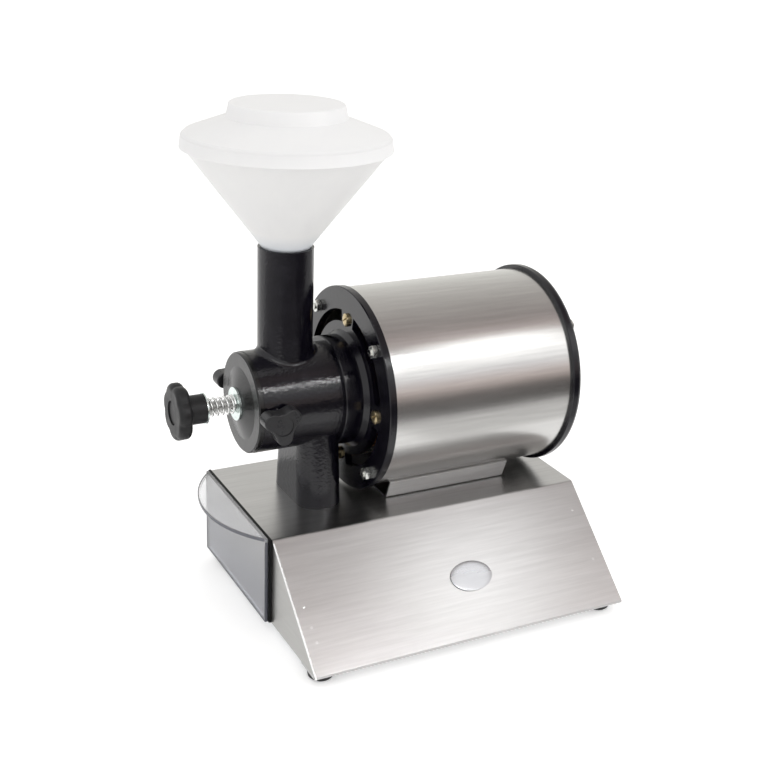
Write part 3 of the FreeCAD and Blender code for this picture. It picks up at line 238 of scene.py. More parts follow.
class Shader:
    """Node tree of one material, with helpers that add, set and link its nodes."""

    def __init__(self, name: str) -> None:
        """Start an empty principled material.

        Args:
            name: name of the material.
        """
        self.material = bpy.data.materials.new(name)
        self.material.use_nodes = True
        self.tree = self.material.node_tree
        self.tree.nodes.clear()
        output = self.tree.nodes.new("ShaderNodeOutputMaterial")
        self.principled = self.tree.nodes.new("ShaderNodeBsdfPrincipled")
        self.tree.links.new(self.principled.outputs["BSDF"], output.inputs["Surface"])
        self.coords = self.tree.nodes.new("ShaderNodeTexCoord").outputs["Object"]

    def set(self, **values: float | tuple[float, ...]) -> None:
        """Set constants on the principled shader, with socket names written with underscores."""
        for key, value in values.items():
            self.principled.inputs[key.replace("_", " ")].default_value = value

    def drive(self, socket: str, source: Socket) -> None:
        """Link a source to one socket of the principled shader."""
        self.tree.links.new(source, self.principled.inputs[socket])

    def node(self, kind: str, into: str, source: Socket, **values: float | Triple) -> bpy.types.Node:
        """Add a node with one linked input.

        Args:
            kind: Blender's name of the node.
            into: name of the input that is linked.
            source: the socket that it is linked to.
            values: constants for other inputs, with names written with underscores.

        Returns:
            The new node.
        """
        made = self.tree.nodes.new(kind)
        self.tree.links.new(source, made.inputs[into])
        for key, value in values.items():
            made.inputs[key.replace("_", " ")].default_value = value
        return made

    def placed(self, scale: Triple, offset: Triple = (0, 0, 0), turn: Triple = (0, 0, 0)) -> Socket:
        """Return the object coordinates stretched, turned and moved, in this order."""
        values = {"Location": offset, "Rotation": turn, "Scale": scale}
        return self.node("ShaderNodeMapping", "Vector", self.coords, **values).outputs["Vector"]

    def centred(self, centre: Triple, scale: float = 1.0) -> Socket:
        """Return the object coordinates counted from a centre, and stretched evenly."""
        return self.placed((scale, scale, scale), tuple(-c * scale for c in centre))

    def noise(self, vector: Socket, scale: float, detail: float = 2.0, roughness: float = 0.5) -> Socket:
        """Return a noise factor on the given coordinates."""
        values = {"Scale": scale, "Detail": detail, "Roughness": roughness}
        return self.node("ShaderNodeTexNoise", "Vector", vector, **values).outputs["Fac"]

    def wave(self, vector: Socket, scale: float, axis: Axis, form: Wave, wobble: float = 0.0) -> Socket:
        """Add a wave pattern.

        Args:
            vector: the coordinates.
            scale: how close the waves lie.
            axis: direction of the waves.
            form: rings about the axis, or bands along it.
            wobble: how far the waves stray.

        Returns:
            The wave's factor.
        """
        made = self.node("ShaderNodeTexWave", "Vector", vector, Scale=scale, Distortion=wobble)
        made.wave_type = form.value
        made.bands_direction = axis.name
        made.rings_direction = axis.name
        return made.outputs["Fac"]

    def span(self, factor: Socket, low: float, high: float, start: float = 0.3, end: float = 0.7) -> Socket:
        """Return a factor stretched from (start, end) to (low, high)."""
        values = {"From Min": start, "From Max": end, "To Min": low, "To Max": high}
        return self.node("ShaderNodeMapRange", "Value", factor, **values).outputs["Result"]

    def height(self, foot: float, head: float) -> Socket:
        """Measure the height of each point.

        Args:
            foot: height where the factor is 0.
            head: height where the factor is 1.

        Returns:
            The factor.
        """
        rise = 1 / (head - foot)
        upward = self.placed((0, 0, rise), (-foot * rise, 0, 0), (0, TURN / 4, 0))
        return self.node("ShaderNodeTexGradient", "Vector", upward).outputs["Fac"]

    def ramp(self, factor: Socket, *stops: tuple[float, Triple]) -> Socket:
        """Turn a factor into a colour.

        Args:
            factor: the factor.
            stops: places on the factor's scale in rising order, each with its colour.

        Returns:
            The colour.
        """
        made = self.node("ShaderNodeValToRGB", "Fac", factor)
        elements = made.color_ramp.elements
        while len(elements) < len(stops):
            elements.new(0.5)
        for element, (place, colour) in zip(elements, stops):
            element.position = place
            element.color = (*colour, 1)
        return made.outputs["Color"]

    def mix(self, share: float, first: Socket, second: Socket, way: Blend) -> Socket:
        """Put two colours together.

        Args:
            share: share of the second colour.
            first: the first colour.
            second: the second colour.
            way: how they are put together.

        Returns:
            The colour.
        """
        made = self.tree.nodes.new("ShaderNodeMix")
        made.data_type = "RGBA"
        made.blend_type = way.value
        made.inputs[MIX_SHARE].default_value = share
        self.tree.links.new(first, made.inputs[MIX_FIRST])
        self.tree.links.new(second, made.inputs[MIX_SECOND])
        return made.outputs[MIX_RESULT]

    def bump(self, height: Socket, strength: float, depth: float, under: Socket | None = None) -> Socket:
        """Bump the surface.

        Args:
            height: factor that gives the height.
            strength: share of the bump that shows.
            depth: height of the bump in metres.
            under: another bump that this one lies on.

        Returns:
            The bumped normal.
        """
        made = self.node("ShaderNodeBump", "Height", height, Strength=strength, Distance=depth)
        if under is not None:
            self.tree.links.new(under, made.inputs["Normal"])
        return made.outputs["Normal"]


@dataclass(frozen=True)
class Finish:
    """A finish that can be put on pieces: a name, and a method that makes its material."""

    name: str

    def paint(self, made: Shader) -> None:
        """Fill the node tree of this finish."""
        raise NotImplementedError

    def material(self) -> bpy.types.Material:
        """Make the material of this finish, or find the one made before.

        Returns:
            The material.
        """
        found = bpy.data.materials.get(self.name)
        if found:
            return found
        made = Shader(self.name)
        self.paint(made)
        return made.material


@dataclass(frozen=True)
class BrushedSteel(Finish):
    """Stainless sheet with fine scratches along one axis and a slow change of tone."""

    grain: Axis = Axis.X
    light: Triple = (0.645, 0.635, 0.63)
    dark: Triple = (0.555, 0.545, 0.54)
    roughness: Pair = (0.25, 0.35)
    streak: float = 1900.0
    length: float = 45.0
    coarser: Pair = (3, 6)
    smeared: Pair = (6, 38)
    tone_share: float = 0.4
    scratch_strength: float = 0.05
    scratch_depth: float = 0.00006

    def grained(self, made: Shader, longer: float, wider: float) -> Socket:
        """Return coordinates for scratches that are longer and wider than the fine ones."""
        forward, first, second = self.grain.vectors()
        return made.placed(tuple(forward * self.length / longer + (first + second) * self.streak / wider))

    def paint(self, made: Shader) -> None:
        """Make scratches from noise that is stretched along the grain.

        Args:
            made: the node tree.
        """
        fine = made.noise(self.grained(made, 1, 1), 1.0, detail=2.0, roughness=0.6)
        coarse = made.noise(self.grained(made, *self.coarser), 1.0, detail=4.0, roughness=0.65)
        smear = made.noise(self.grained(made, *self.smeared), 1.0, detail=3.0, roughness=0.6)
        lines = made.ramp(coarse, (0.30, self.dark), (0.70, self.light))
        tone = made.ramp(smear, (0.10, self.dark), (0.90, self.light))
        made.drive("Base Color", made.mix(self.tone_share, lines, tone, Blend.SHARES))
        made.drive("Roughness", made.span(smear, *self.roughness, start=0.1, end=0.9))
        made.drive("Normal", made.bump(fine, self.scratch_strength, self.scratch_depth))
        made.set(Metallic=1.0)


@dataclass(frozen=True)
class Enamel(Finish):
    """Stoved enamel over a sand casting: gloss with an orange-peel skin, slow sags and faint dust."""

    colour: Triple = (0.0028, 0.0023, 0.0052)
    haze: Triple = (0.0072, 0.0064, 0.0110)
    roughness: Pair = (0.13, 0.21)
    peel: float = 340.0
    peel_strength: float = 0.42
    depth: float = 0.00055
    sag_wider: float = 9.0
    sag_deeper: float = 3.0
    sag_strength: float = 0.06
    dust: float = 60.0
    gloss: float = 0.45

    def paint(self, made: Shader) -> None:
        """Make a dark gloss whose skin is rippled at two sizes.

        Args:
            made: the node tree.
        """
        skin = made.noise(made.coords, self.peel, detail=2.0, roughness=0.55)
        sag = made.noise(made.coords, self.peel / self.sag_wider, detail=1.0)
        dust = made.noise(made.coords, self.dust, detail=4.0, roughness=0.7)
        made.drive("Base Color", made.ramp(dust, (0.45, self.colour), (0.8, self.haze)))
        made.drive("Roughness", made.span(dust, *self.roughness))
        sags = made.bump(sag, self.sag_strength, self.depth * self.sag_deeper)
        made.drive("Normal", made.bump(skin, self.peel_strength, self.depth, sags))
        made.set(Specular_IOR_Level=self.gloss)


@dataclass(frozen=True)
class TurnedPaint(Finish):
    """Satin paint on a turned face, with faint tool rings about the shaft."""

    centre: Triple = (0.0, 0.0, 0.0)
    colour: Triple = (0.004, 0.004, 0.0045)
    worn: Triple = (0.009, 0.009, 0.009)
    roughness: Pair = (0.17, 0.26)
    ring: float = 420.0
    ring_wobble: float = 0.4
    cloud: float = 70.0
    grain: float = 1600.0
    depth: float = 0.0001
    gloss: float = 0.45

    def paint(self, made: Shader) -> None:
        """Make rings about the shaft under a cloudy satin.

        Args:
            made: the node tree.
        """
        rings = made.wave(made.centred(self.centre), self.ring, Axis.X, Wave.RINGS, self.ring_wobble)
        cloud = made.noise(made.coords, self.cloud, detail=4.0, roughness=0.65)
        grain = made.noise(made.coords, self.grain)
        made.drive("Base Color", made.ramp(cloud, (0.35, self.colour), (0.75, self.worn)))
        made.drive("Roughness", made.span(cloud, *self.roughness))
        ringed = made.bump(rings, strength=0.35, depth=self.depth)
        made.drive("Normal", made.bump(grain, strength=0.12, depth=self.depth, under=ringed))
        made.set(Specular_IOR_Level=self.gloss)


@dataclass(frozen=True)
class Plated(Finish):
    """Plated or turned metal: mottled tone, fine scratches, and thread-like bands where asked."""

    light: Triple = (0.82, 0.82, 0.78)
    dark: Triple = (0.55, 0.56, 0.53)
    roughness: Pair = (0.18, 0.36)
    rings: float = 0.0
    ring_depth: float = 0.0003
    axis: Axis = Axis.X
    mottle: float = 180.0
    scratch: Triple = (300, 2600, 2600)
    scratch_depth: float = 0.00004

    def paint(self, made: Shader) -> None:
        """Make mottled metal with scratches, and with bands along an axis if it has rings.

        Args:
            made: the node tree.
        """
        mottle = made.noise(made.coords, self.mottle, detail=4.0, roughness=0.6)
        scratch = made.noise(made.placed(self.scratch), 1.0)
        made.drive("Base Color", made.ramp(mottle, (0.3, self.dark), (0.68, self.light)))
        made.drive("Roughness", made.span(mottle, *self.roughness))
        normal = made.bump(scratch, strength=0.12, depth=self.scratch_depth)
        if self.rings:
            bands = made.wave(made.coords, self.rings, self.axis, Wave.BANDS)
            normal = made.bump(bands, strength=0.8, depth=self.ring_depth, under=normal)
        made.drive("Normal", normal)
        made.set(Metallic=1.0)


@dataclass(frozen=True)
class MouldedPlastic(Finish):
    """Moulded plastic or rubber with a fine spark-eroded skin and scuffed tone."""

    colour: Triple = (0.010, 0.010, 0.011)
    scuffed: Triple = (0.024, 0.024, 0.025)
    roughness: Pair = (0.36, 0.52)
    skin: float = 2200.0
    skin_strength: float = 0.25
    depth: float = 0.00008
    cloud: float = 95.0
    gloss: float = 0.42

    def paint(self, made: Shader) -> None:
        """Make fine skin grain under a cloudy tone.

        Args:
            made: the node tree.
        """
        skin = made.noise(made.coords, self.skin)
        cloud = made.noise(made.coords, self.cloud, detail=4.0, roughness=0.65)
        made.drive("Base Color", made.ramp(cloud, (0.35, self.colour), (0.8, self.scuffed)))
        made.drive("Roughness", made.span(cloud, *self.roughness))
        made.drive("Normal", made.bump(skin, self.skin_strength, self.depth))
        made.set(Specular_IOR_Level=self.gloss)


@dataclass(frozen=True)
class MilkyPlastic(Finish):
    """Milky plastic that a little light goes through, with faint flow streaks down the cone, and painted
    shade at its foot.
    """

    colour: Triple = (0.965, 0.964, 0.958)
    streaked: Triple = (0.94, 0.94, 0.938)
    # painted shade: the colour that the foot is darkened and cooled to
    painted_shade: Triple = (0.80, 0.84, 0.89)
    roughness: Pair = (0.32, 0.46)
    through: float = 0.04
    foot: float = 0.0
    head: float = 0.01
    flow: Triple = (55, 55, 9)
    flow_depth: float = 0.0006
    skin: float = 900.0
    skin_depth: float = 0.0001
    soft: float = 0.15
    soft_reach: float = 0.002

    def paint(self, made: Shader) -> None:
        """Make a cloudy, soft and partly clear plastic, with painted shade that makes it darker and bluer
        at its foot than from its head on.

        Args:
            made: the node tree.
        """
        flow = made.noise(made.placed(self.flow), 1.0, detail=3.0, roughness=0.6)
        skin = made.noise(made.coords, self.skin)
        streaks = made.ramp(flow, (0.32, self.streaked), (0.66, self.colour))
        # painted shade: darker and bluer from the foot up to the head
        painted_shade_ramp = made.ramp(made.height(self.foot, self.head), (0.0, self.painted_shade), (1.0, WHITE))
        made.drive("Base Color", made.mix(1.0, streaks, painted_shade_ramp, Blend.TIMES))
        made.drive("Roughness", made.span(flow, *self.roughness))
        flowed = made.bump(flow, strength=0.12, depth=self.flow_depth)
        made.drive("Normal", made.bump(skin, strength=0.10, depth=self.skin_depth, under=flowed))
        made.set(Transmission_Weight=self.through, IOR=1.5, Specular_IOR_Level=0.3)
        made.set(Subsurface_Weight=self.soft, Subsurface_Radius=WHITE, Subsurface_Scale=self.soft_reach)


@dataclass(frozen=True)
class SmokyPlastic(Finish):
    """Clear smoke-tinted drawer plastic with hairline scuffs, and painted shade that darkens it towards its
    foot.
    """

    colour: Triple = (0.97, 0.972, 0.98)
    scuffed: Triple = (0.90, 0.905, 0.93)
    # painted shade: the colour that the drawer is darkened to at its foot
    painted_shade: Triple = (0.80, 0.81, 0.86)
    roughness: Pair = (0.05, 0.16)
    foot: float = 0.0
    head: float = 0.1
    clear: float = 0.84
    scuff: Triple = (40, 260, 260)
    scuff_strength: float = 0.04
    scuff_depth: float = 0.0002

    def paint(self, made: Shader) -> None:
        """Make tinted clear plastic with painted shade that darkens it towards its foot, with its gloss
        broken by scuffs.

        Args:
            made: the node tree.
        """
        scuff = made.noise(made.placed(self.scuff), 1.0, detail=4.0, roughness=0.7)
        # painted shade: darker towards the foot
        painted_shade_ramp = made.ramp(made.height(self.foot, self.head), (0.35, self.painted_shade), (0.95, WHITE))
        scuffs = made.ramp(scuff, (0.4, self.colour), (0.8, self.scuffed))
        made.drive("Base Color", made.mix(1.0, scuffs, painted_shade_ramp, Blend.TIMES))
        made.drive("Roughness", made.span(scuff, *self.roughness))
        made.drive("Normal", made.bump(scuff, self.scuff_strength, self.scuff_depth))
        made.set(Transmission_Weight=self.clear, IOR=1.46, Specular_IOR_Level=0.5)


@dataclass(frozen=True)
class WoundCopper(Finish):
    """Varnished copper wire bundles: close strands round the shaft, with painted shade in the grooves
    between them.
    """

    centre: Triple = (0.0, 0.0, 0.0)
    light: Triple = (0.66, 0.33, 0.15)
    dark: Triple = (0.16, 0.06, 0.025)
    roughness: Pair = (0.42, 0.26)
    strand: float = 300.0
    strand_wobble: float = 3.0
    strand_strength: float = 0.7
    strand_depth: float = 0.0006

    def paint(self, made: Shader) -> None:
        """Make strands as wavy rings of copper, dark in the grooves between them as painted shade.

        Args:
            made: the node tree.
        """
        strands = made.wave(made.centred(self.centre), self.strand, Axis.X, Wave.RINGS, self.strand_wobble)
        # painted shade: the copper is dark in the grooves between strands, where the bump is low
        made.drive("Base Color", made.ramp(strands, (0.2, self.dark), (0.8, self.light)))
        made.drive("Roughness", made.span(strands, *self.roughness, start=0.0, end=1.0))
        made.drive("Normal", made.bump(strands, self.strand_strength, self.strand_depth))
        made.set(Metallic=0.8)


@dataclass(frozen=True)
class PaleFloor(Finish):
    """Pale matt floor, lifted to white for the rays that see it, so that its shadows alone show."""

    pale: Triple = (0.93, 0.93, 0.93)
    paler: Triple = (0.95, 0.95, 0.95)
    cloud: float = 3.0
    lift: float = 0.36

    def paint(self, made: Shader) -> None:
        """Make a matt floor with a faint glow.

        Args:
            made: the node tree.
        """
        cloud = made.noise(made.coords, self.cloud)
        made.drive("Base Color", made.ramp(cloud, (0.0, self.pale), (1.0, self.paler)))
        made.set(Roughness=0.9, Specular_IOR_Level=0.1, Emission_Color=OPAQUE_WHITE)
        made.drive("Emission Strength", made.span(seen_rays(made.tree), 0.0, self.lift, start=0.0, end=1.0))


@dataclass(frozen=True)
class CardGlow(Finish):
    """Glow of a flat studio card: one tone in its core, turning to a share of it at the reach."""

    colour: Triple = WHITE
    strength: float = 1.0
    edge: float = 1.0
    centre: Triple = (0.0, 0.0, 0.0)
    reach: float = 1.0
    core: float = 0.55

    def paint(self, made: Shader) -> None:
        """Make an emission that changes with the distance from the glow's centre.

        Args:
            made: the node tree.
        """
        falloff = made.node("ShaderNodeTexGradient", "Vector", made.centred(self.centre, 1 / self.reach))
        falloff.gradient_type = "SPHERICAL"
        edge = tuple(c * self.edge for c in self.colour)
        tone = made.ramp(falloff.outputs["Fac"], (0.0, edge), (self.core, self.colour))
        made.drive("Emission Color", tone)
        made.set(Base_Color=OPAQUE_BLACK, Emission_Strength=self.strength, Specular_IOR_Level=0.0)


@dataclass(frozen=True)
class ArcGlow(Finish):
    """Glow of the curved studio card: tones by angle, from the horizon before the mill over to the back."""

    strength: float = 2.2
    tones: tuple[tuple[float, Triple], ...] = (
        (0.03, (0.05, 0.047, 0.045)),
        (0.08, (0.37, 0.31, 0.29)),
        (0.15, (0.44, 0.44, 0.45)),
        (0.20, (0.75, 0.75, 0.75)),
        (0.25, (0.73, 0.73, 0.73)),
        (0.305, (0.36, 0.305, 0.29)),
        (0.36, (0.235, 0.198, 0.19)),
        (0.405, (0.165, 0.147, 0.142)),
        (0.85, (0.43, 0.427, 0.408)),
    )

    def paint(self, made: Shader) -> None:
        """Make an emission that is read from the card's own angle attribute through a ramp.

        Args:
            made: the node tree.
        """
        angle = made.tree.nodes.new("ShaderNodeAttribute")
        angle.attribute_name = "angle"
        made.drive("Emission Color", made.ramp(angle.outputs["Fac"], *self.tones))
        made.set(Base_Color=OPAQUE_BLACK, Emission_Strength=self.strength, Specular_IOR_Level=0.0)


ZINC_SCREW = Plated("zinc_screw")
RAW_CASTING = Plated("raw_casting", light=(0.62, 0.62, 0.63), dark=(0.44, 0.44, 0.45), roughness=(0.4, 0.6))


def middle(node: str) -> Vector:
    """Return the middle of a CAD node's box."""
    low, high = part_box(node)
    return (low + high) / 2


def dress(finish: Finish, *nodes: str) -> None:
    """Put a finish on CAD nodes.

    Args:
        finish: the finish.
        nodes: names of the CAD nodes.
    """
    for name in nodes:
        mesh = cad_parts[name].data
        mesh.materials.clear()
        mesh.materials.append(finish.material())
        LOG.info("dressed %s in %s", name, finish.name)


def place(piece: bpy.types.Object, finish: Finish, body: str, slot: str, *stands_for: str) -> None:
    """Give a new piece its finish and its body, and hide the CAD nodes that it stands for.

    Args:
        piece: the new piece.
        finish: its finish.
        body: CAD body that it moves with.
        slot: not used.
        stands_for: CAD nodes that it replaces.
    """
    piece.data.materials.append(finish.material())
    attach(piece, body)
    if stands_for:
        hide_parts(*stands_for)
    LOG.info("placed %s on %s", piece.name, body)


@dataclass(frozen=True)
class Lens:
    """Sizes of a low oval: half sides, rise of its middle, height of its rim, and flatness of its top."""

    half_width: float
    half_height: float
    rise: float
    rim: float
    flatness: float


@dataclass
class Base:
    """Folded steel base with its end panels, feet, switch and cord inlet."""

    slope_head: float = 0.075
    slope_foot: float = 0.1692
    edge_radius: float = 0.0009
    edge_proud: float = 0.0003
    edge_inset: float = 0.002
    edge_rows: int = 12
    edge_columns: int = 10
    weld: Lens = Lens(0.0013, 0.0013, 0.00012, 0.00002, 2.0)
    weld_places: tuple[Pair, ...] = (
        (-0.1135, 0.0505),
        (-0.1125, 0.0385),
        (-0.1120, 0.0300),
        (0.1660, 0.0720),
        (0.1665, 0.0400),
    )
    plate: Lens = Lens(0.020, 0.0135, 0.0003, 0.0012, 8.0)
    plate_place: Pair = (0.042, 0.0465)
    lens_sink: float = 0.0002
    lens_rows: int = 10
    lens_columns: int = 48
    lens_crowding: float = 0.7

    def slope_ways(self) -> tuple[np.ndarray, np.ndarray]:
        """Find the directions of the operator's slope.

        Returns:
            The direction up the slope, and the direction out of it.
        """
        low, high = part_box("base_shell")
        up = np.array((0.0, self.slope_foot - self.slope_head, high.z - low.z))
        up /= np.linalg.norm(up)
        return up, np.cross(ALONG_X, up)

    def slope_points(self, x: float, z: np.ndarray, proud: float = 0.0) -> np.ndarray:
        """Find places on the operator's slope.

        Args:
            x: their place along the base.
            z: their heights.
            proud: their distance out of the sheet.

        Returns:
            A point for each height.
        """
        low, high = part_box("base_shell")
        run = (self.slope_foot - self.slope_head) / (high.z - low.z)
        y = middle("motor_shaft").y - self.slope_foot + (z - low.z) * run
        return np.stack([0 * z + x, y, z], axis=-1) + proud * self.slope_ways()[1]

    def lens(self, at: Pair, form: Lens) -> np.ndarray:
        """Grid of a low oval on the slope.

        Point = centre + s * (half_width * cos t * X + half_height * sin t * up) + h(s) * out, with s from 0
        in the middle to 1 at the rim, and h(s) = rise * (1 - s^flatness) + rim. A last row is sunk into the
        sheet.

        Args:
            at: its place along the base, and its height.
            form: its sizes.

        Returns:
            Points of shape (rows, columns, 3).
        """
        centre = self.slope_points(at[0], np.array(at[1]))
        up, out = self.slope_ways()
        s = np.append(np.linspace(0.0, 1.0, self.lens_rows) ** self.lens_crowding, 1.0)
        angle = Surface.circle(self.lens_columns)[:, None]
        oval = form.half_width * np.cos(angle) * ALONG_X + form.half_height * np.sin(angle) * up
        height = form.rise * (1 - s ** form.flatness) + form.rim
        height[-1] = -self.lens_sink
        return centre + s[:, None, None] * oval + height[:, None, None] * out

    def sheet_edge(self) -> np.ndarray:
        """Grid of the rounded cut edge: point = a place down the slope + R * (cos t * X + sin t * out).

        Returns:
            Points of shape (rows, columns, 3).
        """
        low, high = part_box("base_shell")
        heights = np.linspace(high.z - self.edge_inset, low.z + self.edge_inset, self.edge_rows)
        sunk = self.edge_proud - self.edge_radius
        spine = self.slope_points(low.x - sunk, heights, sunk)
        angle = Surface.circle(self.edge_columns)[:, None]
        ring = np.cos(angle) * ALONG_X + np.sin(angle) * self.slope_ways()[1]
        return spine[:, None] + self.edge_radius * ring

    def build(self) -> None:
        """Add the cut edge of the sheet, made paler than the sheet as a painted highlight, the weld marks
        and the plain oval plate.
        """
        # painted highlight: the cut edge is much paler than the sheet; its rounding catches real light too
        bright = Plated(
            "cut_edge", light=(0.93, 0.93, 0.93), dark=(0.84, 0.84, 0.84), roughness=(0.20, 0.34))
        edge = [Sheet(self.sheet_edge(), capped=True)]
        place(Surface.piece("sheet_edge", edge, crease=60.0), bright, "mill", "base_steel")
        weld = BrushedSteel(
            "weld_mark", light=(0.68, 0.68, 0.68), dark=(0.60, 0.60, 0.60), roughness=(0.28, 0.42))
        marks = [Sheet(self.lens(at, self.weld)) for at in self.weld_places]
        place(Surface.piece("weld_marks", marks, crease=60.0), weld, "mill", "base_steel")
        satin = BrushedSteel(
            "satin_plate", light=(0.47, 0.475, 0.49), dark=(0.42, 0.425, 0.44), roughness=(0.24, 0.32))
        oval = [Sheet(self.lens(self.plate_place, self.plate))]
        place(Surface.piece("plain_plate", oval, crease=40.0), satin, "mill", "plate_steel")

    def dress(self) -> None:
        """Put the finishes on the base's own nodes."""
        sheet = BrushedSteel(
            "base_sheet", light=(0.605, 0.602, 0.60), dark=(0.48, 0.477, 0.475), roughness=(0.27, 0.34))
        dress(sheet, "base_shell", "motor_cradle")
        # painted shade: the end panels are the sheet's steel made darker, against the bright floor that
        # they mirror
        ends = BrushedSteel("end_sheet", grain=Axis.Y, light=(0.47, 0.465, 0.45), dark=(0.40, 0.395, 0.38))
        dress(ends, "left_end_panel", "right_end_panel")
        inner = Plated(
            "inner_sheet", light=(0.66, 0.67, 0.68), dark=(0.48, 0.49, 0.50), roughness=(0.34, 0.5))
        dress(inner, "bottom_plate", "drawer_guide", "capacitor_clip")
        # black edging round the drawer, made darker still as painted shade of the gap between the drawer
        # and the base
        edging = MouldedPlastic(
            "edging", colour=(0.004, 0.004, 0.005), scuffed=(0.010, 0.010, 0.011), gloss=0.15)
        dress(edging, "drawer_bezel")
        rubber = MouldedPlastic(
            "foot_rubber", colour=(0.016, 0.016, 0.016), scuffed=(0.045, 0.044, 0.042),
            roughness=(0.62, 0.82), skin=1400.0, depth=0.00015)
        dress(rubber, "rubber_feet", "cord_grommet", "shaft_seal")
        dress(ZINC_SCREW, "foot_screws", "cradle_bolts", "cradle_nuts")
        switch = MouldedPlastic("switch_plastic", roughness=(0.22, 0.34), depth=0.00004)
        dress(switch, "switch_housing", "switch_rocker")
        dress(Plated("capacitor_can", light=(0.74, 0.75, 0.77), dark=(0.60, 0.61, 0.63)), "capacitor")


@dataclass
class FlourDrawer:
    """Smoky clear drawer with its crescent lip, whose edges are painted darker than its faces as painted
    shade.
    """

    lip_reach: float = 0.0298
    lip_depth: float = 0.0032
    lip_rows: int = 49
    front_thickness: float = 0.0024
    rim_depth: float = 0.0008
    rim_proud: float = 0.00015
    rim_round: float = 0.0002
    rim_columns: int = 16
    corner_lead: float = 0.1

    def section(self, height: float) -> np.ndarray:
        """Section of a rim: pair = corner's sign * (half sides - round) + round * (cos t, sin t) + middle.

        Args:
            height: side of the section over the edge.

        Returns:
            Pairs (out, over), from the rim's depth to its proud skin and over its height.
        """
        angle = Surface.circle(self.rim_columns)
        half = np.array((self.rim_proud + self.rim_depth, height)) / 2
        led = angle + self.corner_lead
        corner = np.sign(np.stack([np.cos(led), np.sin(led)], axis=-1))
        ring = np.stack([np.cos(angle), np.sin(angle)], axis=-1)
        middle_out = (self.rim_proud - self.rim_depth) / 2
        return corner * (half - self.rim_round) + ring * self.rim_round + np.array((middle_out, 0.0))

    def lip_rim(self) -> np.ndarray:
        """Grid of the lip's edge: point = arc centre + (R + out) * (-cos a, sin a) in plan + over * Z.

        Returns:
            Points of shape (rows, columns, 3).
        """
        low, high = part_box("drawer")
        half = (high.y - low.y) / 2
        radius = (half ** 2 + self.lip_reach ** 2) / (2 * self.lip_reach)
        centre = np.array((low.x + radius, (low.y + high.y) / 2, high.z - self.lip_depth / 2))
        sweep = math.asin(half / radius)
        angle = np.linspace(-sweep, sweep, self.lip_rows)
        outward = np.stack([-np.cos(angle), np.sin(angle), 0 * angle], axis=-1)
        pairs = self.section(self.lip_depth - 2 * self.rim_proud)
        return centre + (radius + pairs[:, :1]) * outward[:, None] + pairs[:, 1:] * UPWARD

    def front_rim(self) -> np.ndarray:
        """Grid of the front's edge, down one side, along the foot and up the other, with mitred corners.

        Point = corner + out * mitre + over * X, with a mitre of (1, 0) at the ends and (1, 1) at the foot.

        Returns:
            Points of shape (corners, columns, 3).
        """
        low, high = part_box("drawer")
        top = high.z - self.lip_depth - self.rim_proud
        face = low.x + self.lip_reach - self.front_thickness / 2
        corner = np.array(
            [(face, low.y, top), (face, low.y, low.z), (face, high.y, low.z), (face, high.y, top)])
        mitre = np.array([(0, -1, 0), (0, -1, -1), (0, 1, -1), (0, 1, 0)], float)
        pairs = self.section(self.front_thickness + self.rim_proud)
        over = (pairs[:, 1:] - self.rim_proud) * ALONG_X
        return corner[:, None] + pairs[:, :1] * mitre[:, None] + over

    def build(self) -> None:
        """Add the edges of the lip and of the front, painted dark as painted shade."""
        low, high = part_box("drawer")
        # painted shade: the edges of the lip and the front are coloured dark and made less clear
        edge = SmokyPlastic(
            "smoky_edge", colour=(0.20, 0.205, 0.235), scuffed=(0.15, 0.155, 0.18),
            foot=low.z, head=high.z, clear=0.35)
        rims = [Sheet(self.lip_rim(), capped=True), Sheet(self.front_rim(), capped=True)]
        place(Surface.piece("drawer_rim", rims, crease=30.0), edge, "drawer", "drawer_clear")

    def dress(self) -> None:
        """Put the clear finish on the drawer."""
        low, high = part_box("drawer")
        dress(SmokyPlastic("smoky_clear", foot=low.z, head=high.z), "drawer")


